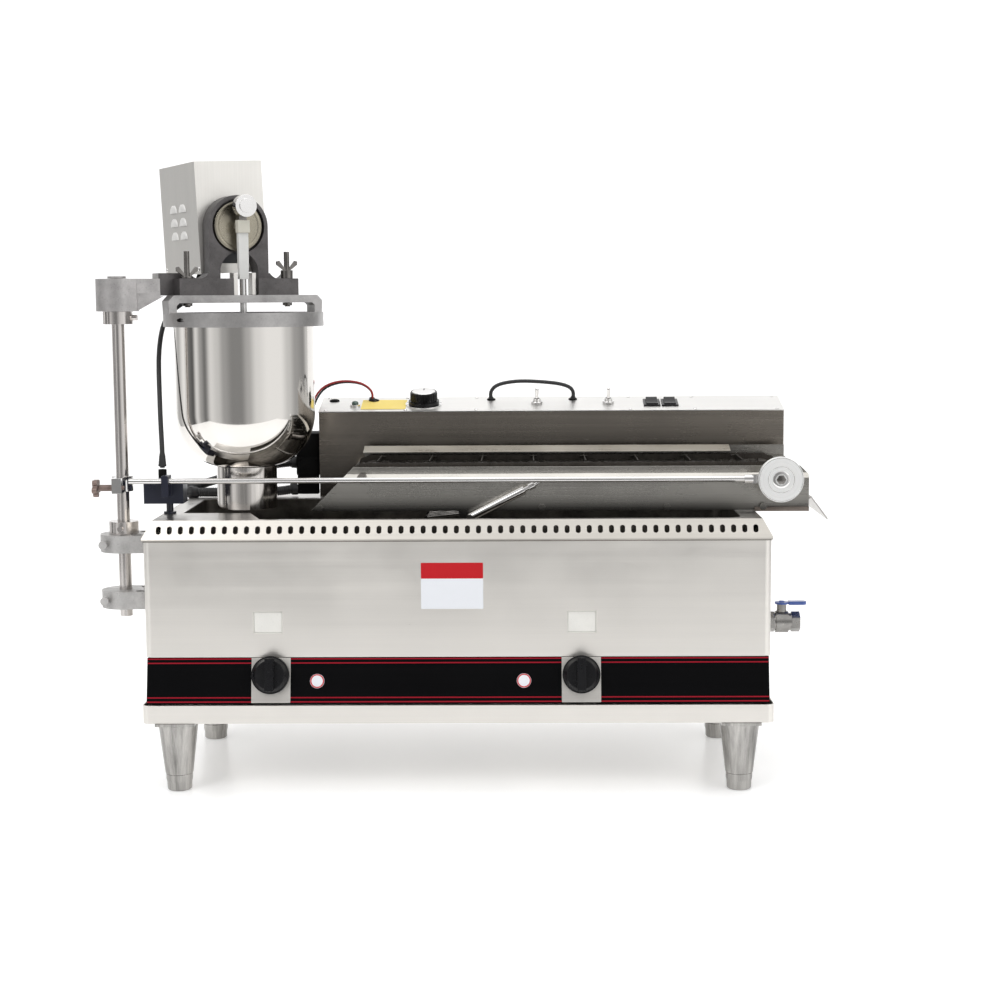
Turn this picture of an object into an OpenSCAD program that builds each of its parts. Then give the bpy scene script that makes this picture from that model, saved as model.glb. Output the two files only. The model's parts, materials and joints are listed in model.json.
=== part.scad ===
// Gas doughnut fryer with a chain conveyor and a dough depositor.
// Millimetres. X runs along the tank, the operator stands at -Y, Z is up from the floor.

/* [Cabinet] */
// Width of the cabinet
cab_w = 880; // [760:1:1000]
// Depth of the cabinet
cab_d = 420; // [410:1:520]
// Height of the deck above the floor
deck_z = 385; // [365:1:430]
// Height of the legs
leg_h = 100; // [90:1:115]
// Thickness of the sheet metal
sheet = 1.5; // [1:0.1:2]
// Outer radius of the cabinet's upright corners
corner_r = 10; // [6:1:16]
// Height of the sloped perforated rim
rim_h = 28; // [24:1:32]
// How far the rim slopes back
rim_back = 12; // [8:1:16]
// Number of slots along the front rim
slot_count = 55; // [30:1:60]
// Width of a rim slot
slot_w = 7; // [4:0.5:8]
// Length of a rim slot
slot_l = 12; // [9:0.5:16]

/* [Control strip] */
// Height of the base lip
lip_h = 26; // [20:1:30]
// Height of the sloped control strip
strip_h = 64; // [58:1:72]
// How far the strip leans out at its bottom edge
strip_out = 14; // [8:1:18]
// Sideways place of the left gas knob
knob_x_left = -262; // [-300:1:-220]
// Sideways place of the right gas knob
knob_x_right = 174; // [140:1:220]
// Diameter of a gas knob
knob_d = 53; // [44:1:60]
// Width of the bezel behind a knob
bezel_w = 55; // [50:1:64]

/* [Tank] */
// Length of the oil tank
tank_l = 800; // [700:1:830]
// Width of the oil tank, front to back
tank_w = 262; // [250:1:275]
// Depth of the oil tank
tank_depth = 100; // [80:1:110]
// Distance from the cabinet's front to the tank
tank_y = 24; // [20:1:30]

/* [Conveyor] */
// Place of the near side plate behind the cabinet's front
plate_near_y = 90; // [84:1:100]
// Place of the far side plate
plate_far_y = 262; // [250:1:270]
// Thickness of a side plate
plate_t = 2; // [1.5:0.1:3]
// Pitch of the roller chain
chain_pitch = 12.7; // [12.7]
// Teeth on a sprocket, a multiple of four
sprocket_teeth = 8; // [8:4:12]
// Links along one straight run of the chain
run_links = 47; // [41:2:47]
// Place of the drive shaft along X
drive_x = 458; // [450:1:466]
// Height of the drive shaft above the deck
drive_up = 50.5; // [46:0.5:56]
// Diameter of the drive and idler shafts
shaft_d = 14; // [12:1:16]
// Diameter of the drive wheel
wheel_d = 64; // [58:1:72]
// Radius at which the drive wheel carries its trip peg
peg_r = 27; // [22:1:27]
// Diameter of the timing rod
rod_d = 8; // [6:1:10]

/* [Dough head] */
// Diameter of the post
post_d = 18; // [16:1:22]
// Distance from the cabinet's side to the post
post_out = 46; // [44:1:60]
// Place of the post behind the cabinet's front
post_y = 95; // [90:1:120]
// Sideways distance from the post to the hopper
head_reach = 172; // [165:1:185]
// Distance from the post back to the hopper
head_back = 55; // [40:1:60]
// Turn of the dough head about its own upright axis
head_yaw = 28; // [15:1:32]
// Outer diameter of the hopper
hopper_d = 203; // [190:1:216]
// Height of the hopper's straight wall
hopper_wall_h = 128; // [100:1:140]
// Height of the hopper's rounded bottom
hopper_round_h = 80; // [70:1:90]
// Outer diameter of the outlet cylinder
outlet_d = 88; // [80:1:96]
// Bore of the outlet cylinder
outlet_bore = 60; // [50:1:64]
// Gap between the outlet cylinder and the deck
outlet_gap = 3; // [2:0.5:8]
// Length of the outlet cylinder
outlet_h = 62; // [56:1:66]
// Throw of the crank
crank_r = 28; // [18:1:30]
// Width of the motor cover
cover_w = 103; // [90:1:110]
// Depth of the motor cover
cover_d = 175; // [150:1:190]
// Height of the motor cover
cover_h = 163; // [150:1:175]
// Sideways lean of the motor cover on its casting
cover_lean = 2.5; // [0:0.5:3]

/* [Control box] */
// Left end of the control box
box_x0 = -224; // [-240:1:-200]
// Right end of the control box
box_x1 = 497; // [485:1:510]
// Front of the control box behind the cabinet's front
box_y = 300; // [298:1:305]
// Depth of the control box
box_d = 76; // [70:1:85]
// Height of the control box at its front
box_h = 132; // [120:1:140]
// Rise of the sloped top to the back
box_rise = 17; // [12:1:22]

/* [Fits] */
// Radial clearance of a running fit
run_fit = 0.08; // [0.05:0.01:0.1]
// Gap between parts that pass each other
pass_gap = 0.4; // [0.3:0.1:0.6]

/* [Hidden] */
$fn = 48;
eps = 0.01;

// Levels of the cabinet
tray_z = leg_h;
strip_z0 = tray_z + lip_h + 2;
strip_z1 = strip_z0 + strip_h;
panel_z1 = deck_z - rim_h;
strip_lean = atan(strip_out / strip_h);
half_w = cab_w / 2;
tray_over = 4;
knob_z = strip_z0 + 0.62 * strip_h;
valve_axis_z = knob_z;
corner_return = 22;
knob_reach = 25;
inlet_out = 30;
clamp_r = 34;
chute_tip_x = 532;
panel_gap = 0.5;

// Tank
tank_r = 18;
tank_z0 = deck_z - sheet - tank_depth;
tank_x0 = -tank_l / 2;
tank_y1 = tank_y + tank_w;
drain_y = 120;
drain_z = 219;
drain_pipe_r = 10.5;

// Conveyor
drive_z = deck_z + drive_up;
pitch_r = chain_pitch / (2 * sin(180 / sprocket_teeth));
run_len = run_links * chain_pitch;
idler_x = drive_x - run_len;
roller_r = 3.9;
plate_gap_inner = 6.4;
link_t = 1.1;
pin_r = 1.8;
chain_near_y = plate_near_y + 19;
chain_far_y = plate_far_y - 17;
plate_z0 = deck_z + 3;
plate_z1 = deck_z + 66;
plate_x0 = -214;
plate_x1 = 504;
wheel_y = 46;
wheel_t = 10;
rod_y = wheel_y + wheel_t + 6;
flip_x = 17;
flip_z = deck_z - 5;
flip_shaft_r = 5;
switch_x = -419;
switch_y = 98;

// Dough head
post_x = -half_w - post_out;
head_x = post_x + head_reach;
head_y = post_y + head_back;
outlet_z0 = deck_z + outlet_gap;
outlet_z1 = outlet_z0 + outlet_h;
bowl_z1 = outlet_z1 + hopper_round_h + hopper_wall_h;
ring_r = hopper_d / 2 + 14.5;
ring_h = 20;
ring_z0 = bowl_z1 - 4;
ring_z1 = ring_z0 + ring_h;
bridge_bar = 11;
bridge_z1 = ring_z1 + 25;
bridge_half = ring_r;
base_t = 24;
base_left = -100;
base_right = 80;
crank_z = bridge_z1 + 100;
arch_y0 = 14;
arch_t = 30;
arch_r = 45;
disc_r = 36;
disc_bore = 39.5;
disc_t = 10;
disc_y0 = arch_y0 + 1;
pin_knob_r = 16;
stud_xs = [-84, 68];
motor_shaft_r = 10;
plunger_rod_r = 5;
piston_h = 40;
piston_z0 = outlet_z0 + 2 * crank_r + 4;
crosshead_z = bridge_z1 + 35;
arm_z1 = bridge_z1 + base_t;
arm_bar_h = 21;
arm_boss_h = 46;
arm_boss_r = 30;
collar_r = 21;

// Control box
box_z0 = deck_z + 0.5;
box_z1 = box_z0 + box_h;
box_slope = atan(box_rise / box_d);

// The origin is the middle of the whole object on the floor
left_x = post_x - clamp_r;
right_x = chute_tip_x;
front_y = -strip_out * (strip_z1 - knob_z) / strip_h - knob_reach * cos(strip_lean)
  - (knob_d / 2 - 4) * sin(strip_lean);
back_y = cab_d + inlet_out;
mid_x = (left_x + right_x) / 2;
mid_y = (front_y + back_y) / 2;

module place() {
  translate([-mid_x, -mid_y, 0]) children();
}

// A rectangle with round corners, from one corner
module round_rect(x, y, r) {
  translate([r, 0]) square([x - 2 * r, y]);
  translate([0, r]) square([x, y - 2 * r]);
  for (i = [r, x - r], j = [r, y - r]) translate([i, j]) circle(r);
}

// An upright slot shape centred on its middle
module slot_shape(w, l) {
  square([w, l - w], center = true);
  for (s = [-1, 1]) translate([0, s * (l - w) / 2]) circle(w / 2, $fn = 24);
}

// A profile drawn in Y and Z, run along X
module along_x(x0, x1) {
  translate([x0, 0, 0]) rotate([90, 0, 90]) linear_extrude(x1 - x0) children();
}

// A profile drawn in X and Z, run along Y
module along_y(y0, y1) {
  translate([0, y1, 0]) rotate([90, 0, 0]) linear_extrude(y1 - y0) children();
}

// A cylinder along Y
module rod_y_axis(r, y0, y1) {
  translate([0, y0, 0]) rotate([-90, 0, 0]) cylinder(r = r, h = y1 - y0);
}

// A cylinder along X
module rod_x_axis(r, x0, x1) {
  translate([x0, 0, 0]) rotate([0, 90, 0]) cylinder(r = r, h = x1 - x0);
}

// Puts a child on the control strip, with +Z pointing out of it
module on_strip(x) {
  translate([x, -strip_out * (strip_z1 - knob_z) / strip_h, knob_z])
    rotate([90 - strip_lean, 0, 0]) children();
}

// Puts a child on the sloped top of the control box, with +Z out of it
module on_panel(x, along) {
  translate([x, box_y, box_z1]) rotate([box_slope, 0, 0])
    translate([0, along, 0]) children();
}

// Puts a child in the frame of the dough head
module head_frame() {
  translate([head_x, head_y, 0]) rotate(head_yaw) children();
}

// Points of a path, and a tube of rings along them
function unit(v) = v / norm(v);
function tangent(p, i) = unit(p[min(i + 1, len(p) - 1)] - p[max(i - 1, 0)]);
function side_of(t) = unit(cross(t, abs(t[2]) > 0.9 ? [1, 0, 0] : [0, 0, 1]));
function catmull(a, b, c, d, t) = 0.5 * (2 * b + (c - a) * t
  + (2 * a - 5 * b + 4 * c - d) * t * t + (3 * b - a - 3 * c + d) * t * t * t);
function smooth(p, n) = [for (i = [0 : len(p) - 2], k = [0 : n - 1])
  catmull(p[max(i - 1, 0)], p[i], p[i + 1], p[min(i + 2, len(p) - 1)], k / n), p[len(p) - 1]];
function turn_on(s, t) = unit(s - (s * t) * t);
function sides(p, i = 0, s = undef) = i == len(p) ? [] :
  let (t = tangent(p, i), now = i == 0 ? side_of(t) : turn_on(s, t))
  concat([now], sides(p, i + 1, now));

module tube_along(p, r, n) {
  u = sides(p);
  m = len(p);
  points = [for (i = [0 : m - 1], k = [0 : n - 1])
    let (t = tangent(p, i), v = cross(t, u[i]), a = 360 * k / n)
    p[i] + r * (cos(a) * u[i] + sin(a) * v)];
  walls = [for (i = [0 : m - 2], k = [0 : n - 1]) let (k2 = (k + 1) % n)
    [i * n + k, i * n + k2, (i + 1) * n + k2, (i + 1) * n + k]];
  first = [for (k = [n - 1 : -1 : 0]) k];
  last = [for (k = [0 : n - 1]) (m - 1) * n + k];
  polyhedron(points, concat([first], walls, [last]), convexity = 8);
}

// Cabinet

module base_tray() {
  color("gainsboro") difference() {
    translate([-half_w - tray_over, -strip_out, tray_z])
      linear_extrude(lip_h)
        round_rect(cab_w + 2 * tray_over, cab_d + strip_out + tray_over, corner_r);
    translate([-half_w - tray_over + sheet, -strip_out + sheet, tray_z + sheet])
      linear_extrude(lip_h)
        round_rect(cab_w + 2 * (tray_over - sheet), cab_d + strip_out + tray_over - 2 * sheet,
          corner_r - sheet);
    for (x = [-220, 0, 220], y = [130, 230])
      translate([x, y, tray_z - 1]) linear_extrude(lip_h) rotate(90) slot_shape(40, 160);
  }
}

module control_strip() {
  color("black") difference() {
    along_x(-half_w + 3, half_w - 3) polygon([
      [0, strip_z1], [-strip_out, strip_z0], [-strip_out + sheet, strip_z0],
      [sheet, strip_z1 - 2], [sheet, strip_z1]]);
    for (x = [knob_x_left, knob_x_right])
      on_strip(x) translate([0, 0, -20]) cylinder(r = 9, h = 40);
  }
}

module front_panel() {
  window_w = 41;
  window_h = 31;
  color("gainsboro") difference() {
    translate([-half_w, 0, strip_z1]) linear_extrude(panel_z1 - strip_z1) difference() {
      round_rect(cab_w, cab_d, corner_r);
      translate([sheet, sheet])
        round_rect(cab_w - 2 * sheet, cab_d - 2 * sheet, corner_r - sheet);
      translate([-1, corner_return]) square([cab_w + 2, cab_d]);
    }
    for (x = [knob_x_left - 4, knob_x_right + 1])
      translate([x - window_w / 2, -1, 226]) cube([window_w, 2 * sheet + 1, window_h]);
  }
}

module window_panes() {
  for (x = [knob_x_left - 4, knob_x_right + 1]) {
    color("dimgray") translate([x, sheet, 241.5]) difference() {
      translate([-25, 0, -20]) cube([50, 5, 40]);
      translate([-19.5, -1, -14.5]) cube([39, 4.5, 29]);
      translate([-16, -1, -11]) cube([32, 8, 22]);
    }
    color("ivory") translate([x - 19.3, sheet + 1, 227.2]) cube([38.6, 2.3, 28.6]);
  }
}

module side_sheet(x) {
  translate([x, corner_return + panel_gap, tray_z + sheet + 0.2])
    cube([sheet, cab_d - corner_return - panel_gap - sheet - 1, panel_z1 - tray_z - sheet - 0.2]);
}

module side_panel_left() {
  color("lightgray") difference() {
    side_sheet(-half_w);
    for (z = clamp_zs, y = [post_y - 22, post_y + 22])
      translate([0, y, z + clamp_h / 2]) rod_x_axis(4.25, -half_w - 1, -half_w + 3);
    louvre_row();
  }
}

module louvre_row() {
  for (i = [0 : 7])
    translate([0, 250 + i * 18, 190]) rotate([90, 0, 90])
      translate([0, 0, -half_w - 1]) linear_extrude(3) slot_shape(6, 60);
}

module side_panel_right() {
  color("lightgray") difference() {
    side_sheet(half_w - sheet);
    translate([0, drain_y, drain_z]) rod_x_axis(drain_pipe_r + 1, half_w - 3, half_w + 1);
    mirror([1, 0, 0]) louvre_row();
  }
}

module rear_panel() {
  color("lightgray") difference() {
    translate([-half_w, cab_d - sheet, tray_z + sheet + 0.2])
      cube([cab_w, sheet, panel_z1 - tray_z - sheet - 0.2]);
    for (i = [0 : 13])
      translate([-340 + i * 40, 0, 290]) rotate([90, 0, 0])
        translate([0, 0, -cab_d - 1]) linear_extrude(4) slot_shape(8, 70);
    translate([380, 0, valve_axis_z]) rod_y_axis(12, cab_d - 3, cab_d + 1);
  }
}

// Outer or inner form of the rim: sloped at the front and both sides
module rim_form(t) {
  intersection() {
    along_x(-half_w - 1, half_w + 1) polygon([[t - 1.5, panel_z1], [cab_d - t, panel_z1],
      [cab_d - t, deck_z], [rim_back + t, deck_z], [t - 1.5, panel_z1 + 3]]);
    along_y(-4, cab_d + 4) polygon([[-half_w - 1.5 + t, panel_z1],
      [half_w + 1.5 - t, panel_z1], [half_w + 1.5 - t, panel_z1 + 3],
      [half_w - rim_back - t, deck_z], [-half_w + rim_back + t, deck_z],
      [-half_w - 1.5 + t, panel_z1 + 3]]);
  }
}

module rim() {
  slot_pitch = (cab_w - 45) / (slot_count - 1);
  slope = atan((rim_back + 1.5) / (rim_h - 3));
  color("gainsboro") difference() {
    rim_form(0);
    translate([0, 0, -eps]) rim_form(sheet);
    translate([-half_w, -5, deck_z - eps]) cube([cab_w, cab_d + 10, 1]);
    for (i = [0 : slot_count - 1])
      translate([(i - (slot_count - 1) / 2) * slot_pitch, rim_back / 2 - 1, deck_z - rim_h / 2 + 1])
        rotate([90 - slope, 0, 0]) translate([0, 0, -4])
          linear_extrude(8) slot_shape(slot_w, slot_l);
  }
}

module tank_outline(grow) {
  translate([tank_x0 - grow, tank_y - grow])
    round_rect(tank_l + 2 * grow, tank_w + 2 * grow, tank_r + grow);
}

// The plate that bridges the tank's front left corner
module splash_corner() {
  polygon([[tank_x0 - 1, tank_y - 1], [-278, tank_y - 1], [-303, 100], [tank_x0 - 1, 100]]);
}

module deck_plate() {
  color("silver") translate([0, 0, deck_z - sheet]) difference() {
    linear_extrude(sheet) difference() {
      translate([-half_w + rim_back + sheet + 0.3, rim_back + sheet + 0.3])
        square([cab_w - 2 * (rim_back + sheet + 0.3), cab_d - rim_back - 2 * sheet - 0.6]);
      difference() {
        tank_outline(0);
        splash_corner();
      }
    }
    translate([switch_x, switch_y, -1]) cylinder(r = 5.1, h = 5);
  }
}

module oil_tank() {
  color("darkgray") translate([0, 0, tank_z0]) difference() {
    union() {
      linear_extrude(tank_depth) tank_outline(sheet);
      translate([0, 0, tank_depth - sheet]) linear_extrude(sheet) tank_outline(7);
    }
    translate([0, 0, sheet]) linear_extrude(tank_depth) tank_outline(0);
    translate([drain_x(), drain_y, -1]) cylinder(r = drain_pipe_r - 2.5, h = 5);
  }
}

function drain_x() = tank_l / 2 - 30;

module drain_pipe() {
  bend = 26;
  x = drain_x();
  reach = half_w + 6;
  color("silver") difference() {
    union() {
      translate([x, drain_y, drain_z + bend])
        cylinder(r = drain_pipe_r, h = tank_z0 - drain_z - bend);
      translate([x, drain_y, tank_z0 - 8]) cylinder(r = 18, h = 8);
      translate([x + bend, drain_y, drain_z + bend]) rotate([90, 0, 0])
        rotate(180) rotate_extrude(angle = 90) translate([bend, 0]) circle(drain_pipe_r);
      translate([0, drain_y, drain_z]) rod_x_axis(drain_pipe_r, x + bend, reach);
    }
    translate([x, drain_y, drain_z + bend]) cylinder(r = drain_pipe_r - 2.5, h = 80);
    translate([x + bend, drain_y, drain_z + bend]) rotate([90, 0, 0])
      rotate(180) rotate_extrude(angle = 90) translate([bend, 0]) circle(drain_pipe_r - 2.5);
    translate([0, drain_y, drain_z]) rod_x_axis(drain_pipe_r - 2.5, x + bend - eps, reach + 1);
  }
}

valve_x0 = 446;

module drain_valve() {
  color("gray") translate([valve_x0, drain_y, drain_z]) difference() {
    union() {
      rotate([0, 90, 0]) cylinder(r = 15, h = 14, $fn = 6);
      rod_x_axis(13, 10, 44);
      rod_x_axis(16, 16, 34);
      translate([45, 0, 0]) rotate([0, 90, 0]) cylinder(r = 15, h = 12, center = true, $fn = 6);
    }
    rod_x_axis(7.5, -1, 56);
  }
  color("gray") translate([valve_x0 + 25, drain_y, drain_z]) difference() {
    translate([0, 0, 15]) cylinder(r = 7, h = 11);
    translate([0, 0, 13]) cylinder(r = 4, h = 20);
  }
}

module drain_lever() {
  color("royalblue") translate([valve_x0 + 25, drain_y, drain_z]) difference() {
    union() {
      translate([0, 0, 17]) cylinder(r = 4 - run_fit, h = 14);
      translate([0, 0, 26.4]) linear_extrude(3) union() {
        circle(10);
        translate([0, -5.5]) square([14, 11]);
      }
      translate([10, 0, 25.4]) linear_extrude(5) round_bar(26, 13);
    }
  }
}

module round_bar(l, w) {
  translate([0, -w / 2]) square([l - w / 2, w]);
  translate([l - w / 2, 0]) circle(w / 2);
}

module burners() {
  color("dimgray") for (x = [knob_x_left, knob_x_right]) {
    difference() {
      union() {
        translate([x, 155, 232]) rod_x_axis(19, -150, 190);
        translate([x, 0, valve_axis_z]) rod_y_axis(13, 62, 136);
        translate([x, 0, valve_axis_z]) rod_y_axis(19, 60, 72);
        translate([x, 155, valve_axis_z]) cylinder(r = 13, h = 60);
        translate([x, 155, valve_axis_z]) sphere(r = 22);
      }
      translate([x, 0, valve_axis_z]) rod_y_axis(9, 59, 130);
      for (i = [0 : 16])
        translate([x - 140 + i * 20, 155, 240]) rotate(90) linear_extrude(14) slot_shape(2.5, 14);
    }
    for (dx = [-140, 180])
      translate([x + dx - 2, 150, tray_z + sheet]) cube([4, 10, 232 - 18 - tray_z - sheet]);
  }
}

module gas_train() {
  pipe_r = 10;
  y = 42;
  color("goldenrod") {
    difference() {
      union() {
        translate([0, y, valve_axis_z]) rod_x_axis(pipe_r, knob_x_left - 40, 380);
        translate([380, 0, valve_axis_z]) rod_y_axis(pipe_r, y, cab_d + inlet_out);
        translate([380, y, valve_axis_z]) sphere(r = pipe_r + 2);
        translate([380, 0, valve_axis_z]) rod_y_axis(pipe_r + 1.6, cab_d + 12, cab_d + inlet_out);
        for (x = [knob_x_left, knob_x_right]) {
          translate([x - 14, y - 14, valve_axis_z - 14]) cube([28, 28, 28]);
          on_strip(x) translate([0, 0, -34]) cylinder(r = 8, h = 26);
          translate([x, 0, valve_axis_z]) rod_y_axis(3, y + 14, 64);
        }
      }
      translate([380, 0, valve_axis_z]) rod_y_axis(pipe_r - 2, y, cab_d + inlet_out + 1);
      for (x = [knob_x_left, knob_x_right])
        on_strip(x) translate([0, 0, -30]) cylinder(r = 4, h = 40);
    }
  }
}

module knob_bezels() {
  color("silver") for (x = [knob_x_left, knob_x_right])
    on_strip(x) difference() {
      translate([-bezel_w / 2, -0.62 * strip_h + 1, 0.05])
        cube([bezel_w, strip_h - 1, 1.2]);
      translate([0, 0, -1]) cylinder(r = 9, h = 5);
    }
}

module gas_knob(x) {
  color("black") on_strip(x) {
    difference() {
      union() {
        translate([0, 0, 2]) cylinder(r = knob_d / 2, h = 9);
        translate([0, 0, 11]) cylinder(r1 = knob_d / 2 - 2, r2 = knob_d / 2 - 6, h = 5, $fn = 64);
        translate([-6, -knob_d / 2 + 4, 10]) cube([12, knob_d - 8, knob_reach - 10]);
      }
      translate([-0.9, 4, 24.2]) cube([1.8, knob_d / 2 - 10, 2]);
    }
    translate([0, 0, -24]) cylinder(r = 4 - run_fit, h = 26.5);
  }
}

module knob_left() { gas_knob(knob_x_left); }

module knob_right() { gas_knob(knob_x_right); }

foot_places = [[-398, 12], [398, 12], [-398, 311], [398, 311]];

module legs() {
  color("silver") for (p = foot_places) translate([p[0], p[1], 0]) difference() {
    union() {
      rotate_extrude() polygon([[0, 24], [19.5, 24], [20, 26], [27.5, 90], [28.5, 96], [0, 96]]);
      translate([-28, -28, 96]) cube([56, 56, 4]);
      for (a = [0 : 45 : 315]) rotate(a)
        translate([24.5, 0, 94]) rotate([0, -173, 0]) cylinder(r = 3, h = 62, $fn = 24);
    }
    translate([0, 0, 20]) cylinder(r = 6.05, h = 50);
  }
}

module feet() {
  color("silver") for (p = foot_places) translate([p[0], p[1], 0]) {
    rotate_extrude() polygon([[0, 0], [16, 0], [17.5, 2], [18, 12], [19, 16], [19, 23.9], [0, 23.9]]);
    translate([0, 0, 23]) cylinder(r = 6, h = 44);
  }
}

clamp_h = 25;
clamp_zs = [250, panel_z1 - clamp_h - 0.5];

module clamp_body(z) {
  translate([0, 0, z]) difference() {
    linear_extrude(clamp_h) difference() {
      union() {
        translate([post_x, post_y]) circle(clamp_r);
        polygon([[post_x + 6, post_y - 33], [-half_w - tray_over, post_y - 30],
          [-half_w - tray_over, post_y + 30], [post_x + 6, post_y + 33]]);
        translate([-half_w - 8, post_y - 30]) square([8, 60]);
      }
      translate([post_x - 60, post_y - 1]) square([60, 2]);
      for (s = [-1, 1]) translate([post_x + 26, post_y + s * 20]) circle(7);
    }
    translate([post_x, post_y, -1]) cylinder(r = post_d / 2 + run_fit, h = 40);
    translate([post_x - 23, post_y, clamp_h / 2]) rod_y_axis(3.3, -40, 40);
    for (y = [-22, 22]) translate([0, post_y + y, clamp_h / 2]) rod_x_axis(3.3, -half_w - 9, -half_w + 1);
  }
}

module post_clamps() {
  color("darkgray") for (z = clamp_zs) {
    clamp_body(z);
    translate([post_x - 23, post_y, z + clamp_h / 2]) {
      rod_y_axis(3.2, -36, 36);
      rod_y_axis(6, -38, -32.5);
    }
  }
}

collar_z = clamp_zs[1] + clamp_h + 0.3;

module post() {
  color("silver") {
    translate([post_x, post_y, 236]) cylinder(r = post_d / 2, h = arm_z1 + 0.5 - 236);
    for (z = [collar_z, arm_z1 - arm_boss_h - 18.3])
      translate([post_x, post_y, z]) difference() {
        cylinder(r = collar_r, h = 18);
        translate([0, 0, -1]) cylinder(r = post_d / 2 + 0.02, h = 20);
      }
    translate([post_x, post_y, collar_z + 9]) rod_y_axis(4, -collar_r - 7, -collar_r + 1);
    translate([post_x + collar_r - 1, post_y, arm_z1 - arm_boss_h - 9.3]) rod_x_axis(4, 0, 8);
  }
}

// Timing rod, its stop and its trigger

guide_z0 = drive_z - 17;

module rod_guide() {
  color("silver") difference() {
    union() {
      translate([post_x, post_y, guide_z0]) cylinder(r = 15, h = 22);
      translate([post_x - 7, rod_y - 8, guide_z0]) cube([14, post_y - rod_y + 2, 22]);
    }
    translate([post_x, post_y, guide_z0 - 1]) cylinder(r = post_d / 2 + 0.02, h = 30);
    translate([0, rod_y - 2, drive_z - 9]) rod_x_axis(3 + run_fit, post_x - 20, post_x + 20);
  }
}

module stop_screw() {
  color("sienna") translate([0, rod_y - 2, drive_z - 9]) {
    rod_x_axis(3, post_x - 29, post_x + 10);
    rod_x_axis(4.6, post_x - 25, post_x - 7.5);
    translate([post_x - 34, 0, 0]) rotate([0, 90, 0]) linear_extrude(7) union() {
      circle(8);
      for (a = [0 : 72 : 288]) rotate(a) translate([9, 0]) circle(4.2);
    }
  }
}

module trigger_switch() {
  x0 = -452;
  color("slategray") {
    translate([x0, 76, drive_z - 34]) difference() {
      union() {
        cube([57, 34, 30]);
        translate([30, rod_y - 84, 12]) cube([10, 24, 30]);
      }
      translate([0, rod_y - 76, 34]) rod_x_axis(rod_d / 2 + run_fit, 20, 60);
    }
    translate([switch_x, switch_y, deck_z - sheet])
      cylinder(r = 5, h = drive_z - 34 - deck_z + sheet + 1);
    translate([switch_x, switch_y, deck_z + 0.1]) cylinder(r = 9, h = 3);
    translate([switch_gland[0], switch_gland[1], drive_z - 5]) cylinder(r = 6, h = 7);
  }
}

module timing_rod() {
  nose_x = drive_x - wheel_d / 2 + 8;
  color("gainsboro") {
    translate([0, rod_y, drive_z]) {
      rod_x_axis(rod_d / 2, post_x + 16.5, nose_x - 20);
      rod_x_axis(6, nose_x - 26, nose_x - 14);
    }
    difference() {
      translate([nose_x - 16, rod_y - 3.6, drive_z - 6]) cube([12, 7.2, 12]);
      translate([nose_x - 6, rod_y - 2.2, drive_z - 7]) cube([7, 4.4, 14]);
      translate([nose_x - 6, rod_y, drive_z]) rod_y_axis(2.05, -5, 5);
    }
    translate([nose_x - 6, rod_y, drive_z]) {
      rod_y_axis(2, -4.2, 4.2);
      rod_y_axis(6, -2, 2);
    }
  }
}

// Conveyor

module plate_outline() {
  difference() {
    union() {
      polygon([[plate_x0, plate_z0], [plate_x1, plate_z0], [plate_x1, plate_z1 - 12],
        [plate_x1 - 12, plate_z1], [plate_x0 + 62, plate_z1]]);
      translate([flip_x, plate_z0]) circle(17);
    }
    translate([flip_x, flip_z]) circle(flip_shaft_r + run_fit);
    translate([idler_x, drive_z]) circle(shaft_d / 2 + run_fit);
    translate([drive_x, drive_z]) circle(shaft_d / 2 + run_fit);
    for (p = tie_places()) translate(p) circle(3.2);
  }
}

function tie_places() = [[plate_x0 + 14, plate_z0 + 5], [idler_x + 76, drive_z - 6.5],
  [120, plate_z0 + 5], [plate_x1 - 66, plate_z0 + 5], [300, plate_z0 + 5]];

// Section of a side plate: the top is set back and turned up
module plate_section(y, s, top) {
  lift = plate_z1 - 18 + top;
  polygon([[y, plate_z0 - 20], [y + s * plate_t, plate_z0 - 20], [y + s * plate_t, lift],
    [y + s * (plate_t + 7), lift + 7], [y + s * (plate_t + 7), plate_z1 + top],
    [y + s * 7, plate_z1 + top], [y + s * 7, lift + 8], [y, lift + 1]]);
}

module plate_near() {
  color("darkgray") intersection() {
    along_x(plate_x0 - 1, plate_x1 + 1) plate_section(plate_near_y, 1, 0);
    along_y(plate_near_y - 10, plate_near_y + 20) plate_outline();
  }
}

module plate_far() {
  back = plate_far_y + plate_t;
  lip = plate_far_y - 26;
  color("darkgray") {
    along_x(plate_x0 + 64, drive_x - 50) polygon([[back, plate_z1 + 15.4],
      [back, plate_z1 + 17], [lip, plate_z1 + 9.5], [lip, plate_z1 + 7.9]]);
    intersection() {
      along_x(plate_x0 - 1, plate_x1 + 1) plate_section(plate_far_y, -1, 0);
      along_y(plate_far_y - 20, plate_far_y + 10) plate_outline();
    }
    difference() {
      translate([plate_x0 + 64, plate_far_y, plate_z0 + 30])
        cube([plate_x1 - plate_x0 - 76, plate_t, plate_z1 - plate_z0 - 13.5]);
      for (x = [idler_x, drive_x])
        translate([x, plate_far_y, drive_z]) rod_y_axis(shaft_d / 2 + run_fit, -5, 5);
      translate([tie_places()[1][0], plate_far_y, tie_places()[1][1]]) rod_y_axis(3.2, -5, 5);
    }
  }
}

module plate_ties() {
  color("silver") for (p = tie_places()) translate([p[0], 0, p[1]]) {
    rod_y_axis(4, plate_near_y + plate_t + 0.05, plate_far_y - plate_t - 0.05);
    rod_y_axis(3, plate_near_y - 4, plate_far_y + 4);
    for (y = [plate_near_y - 5.1, plate_far_y + plate_t + 0.1])
      translate([0, y, 0]) rotate([-90, 0, 0]) cylinder(r = 5.5, h = 4, $fn = 6);
  }
}

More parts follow.
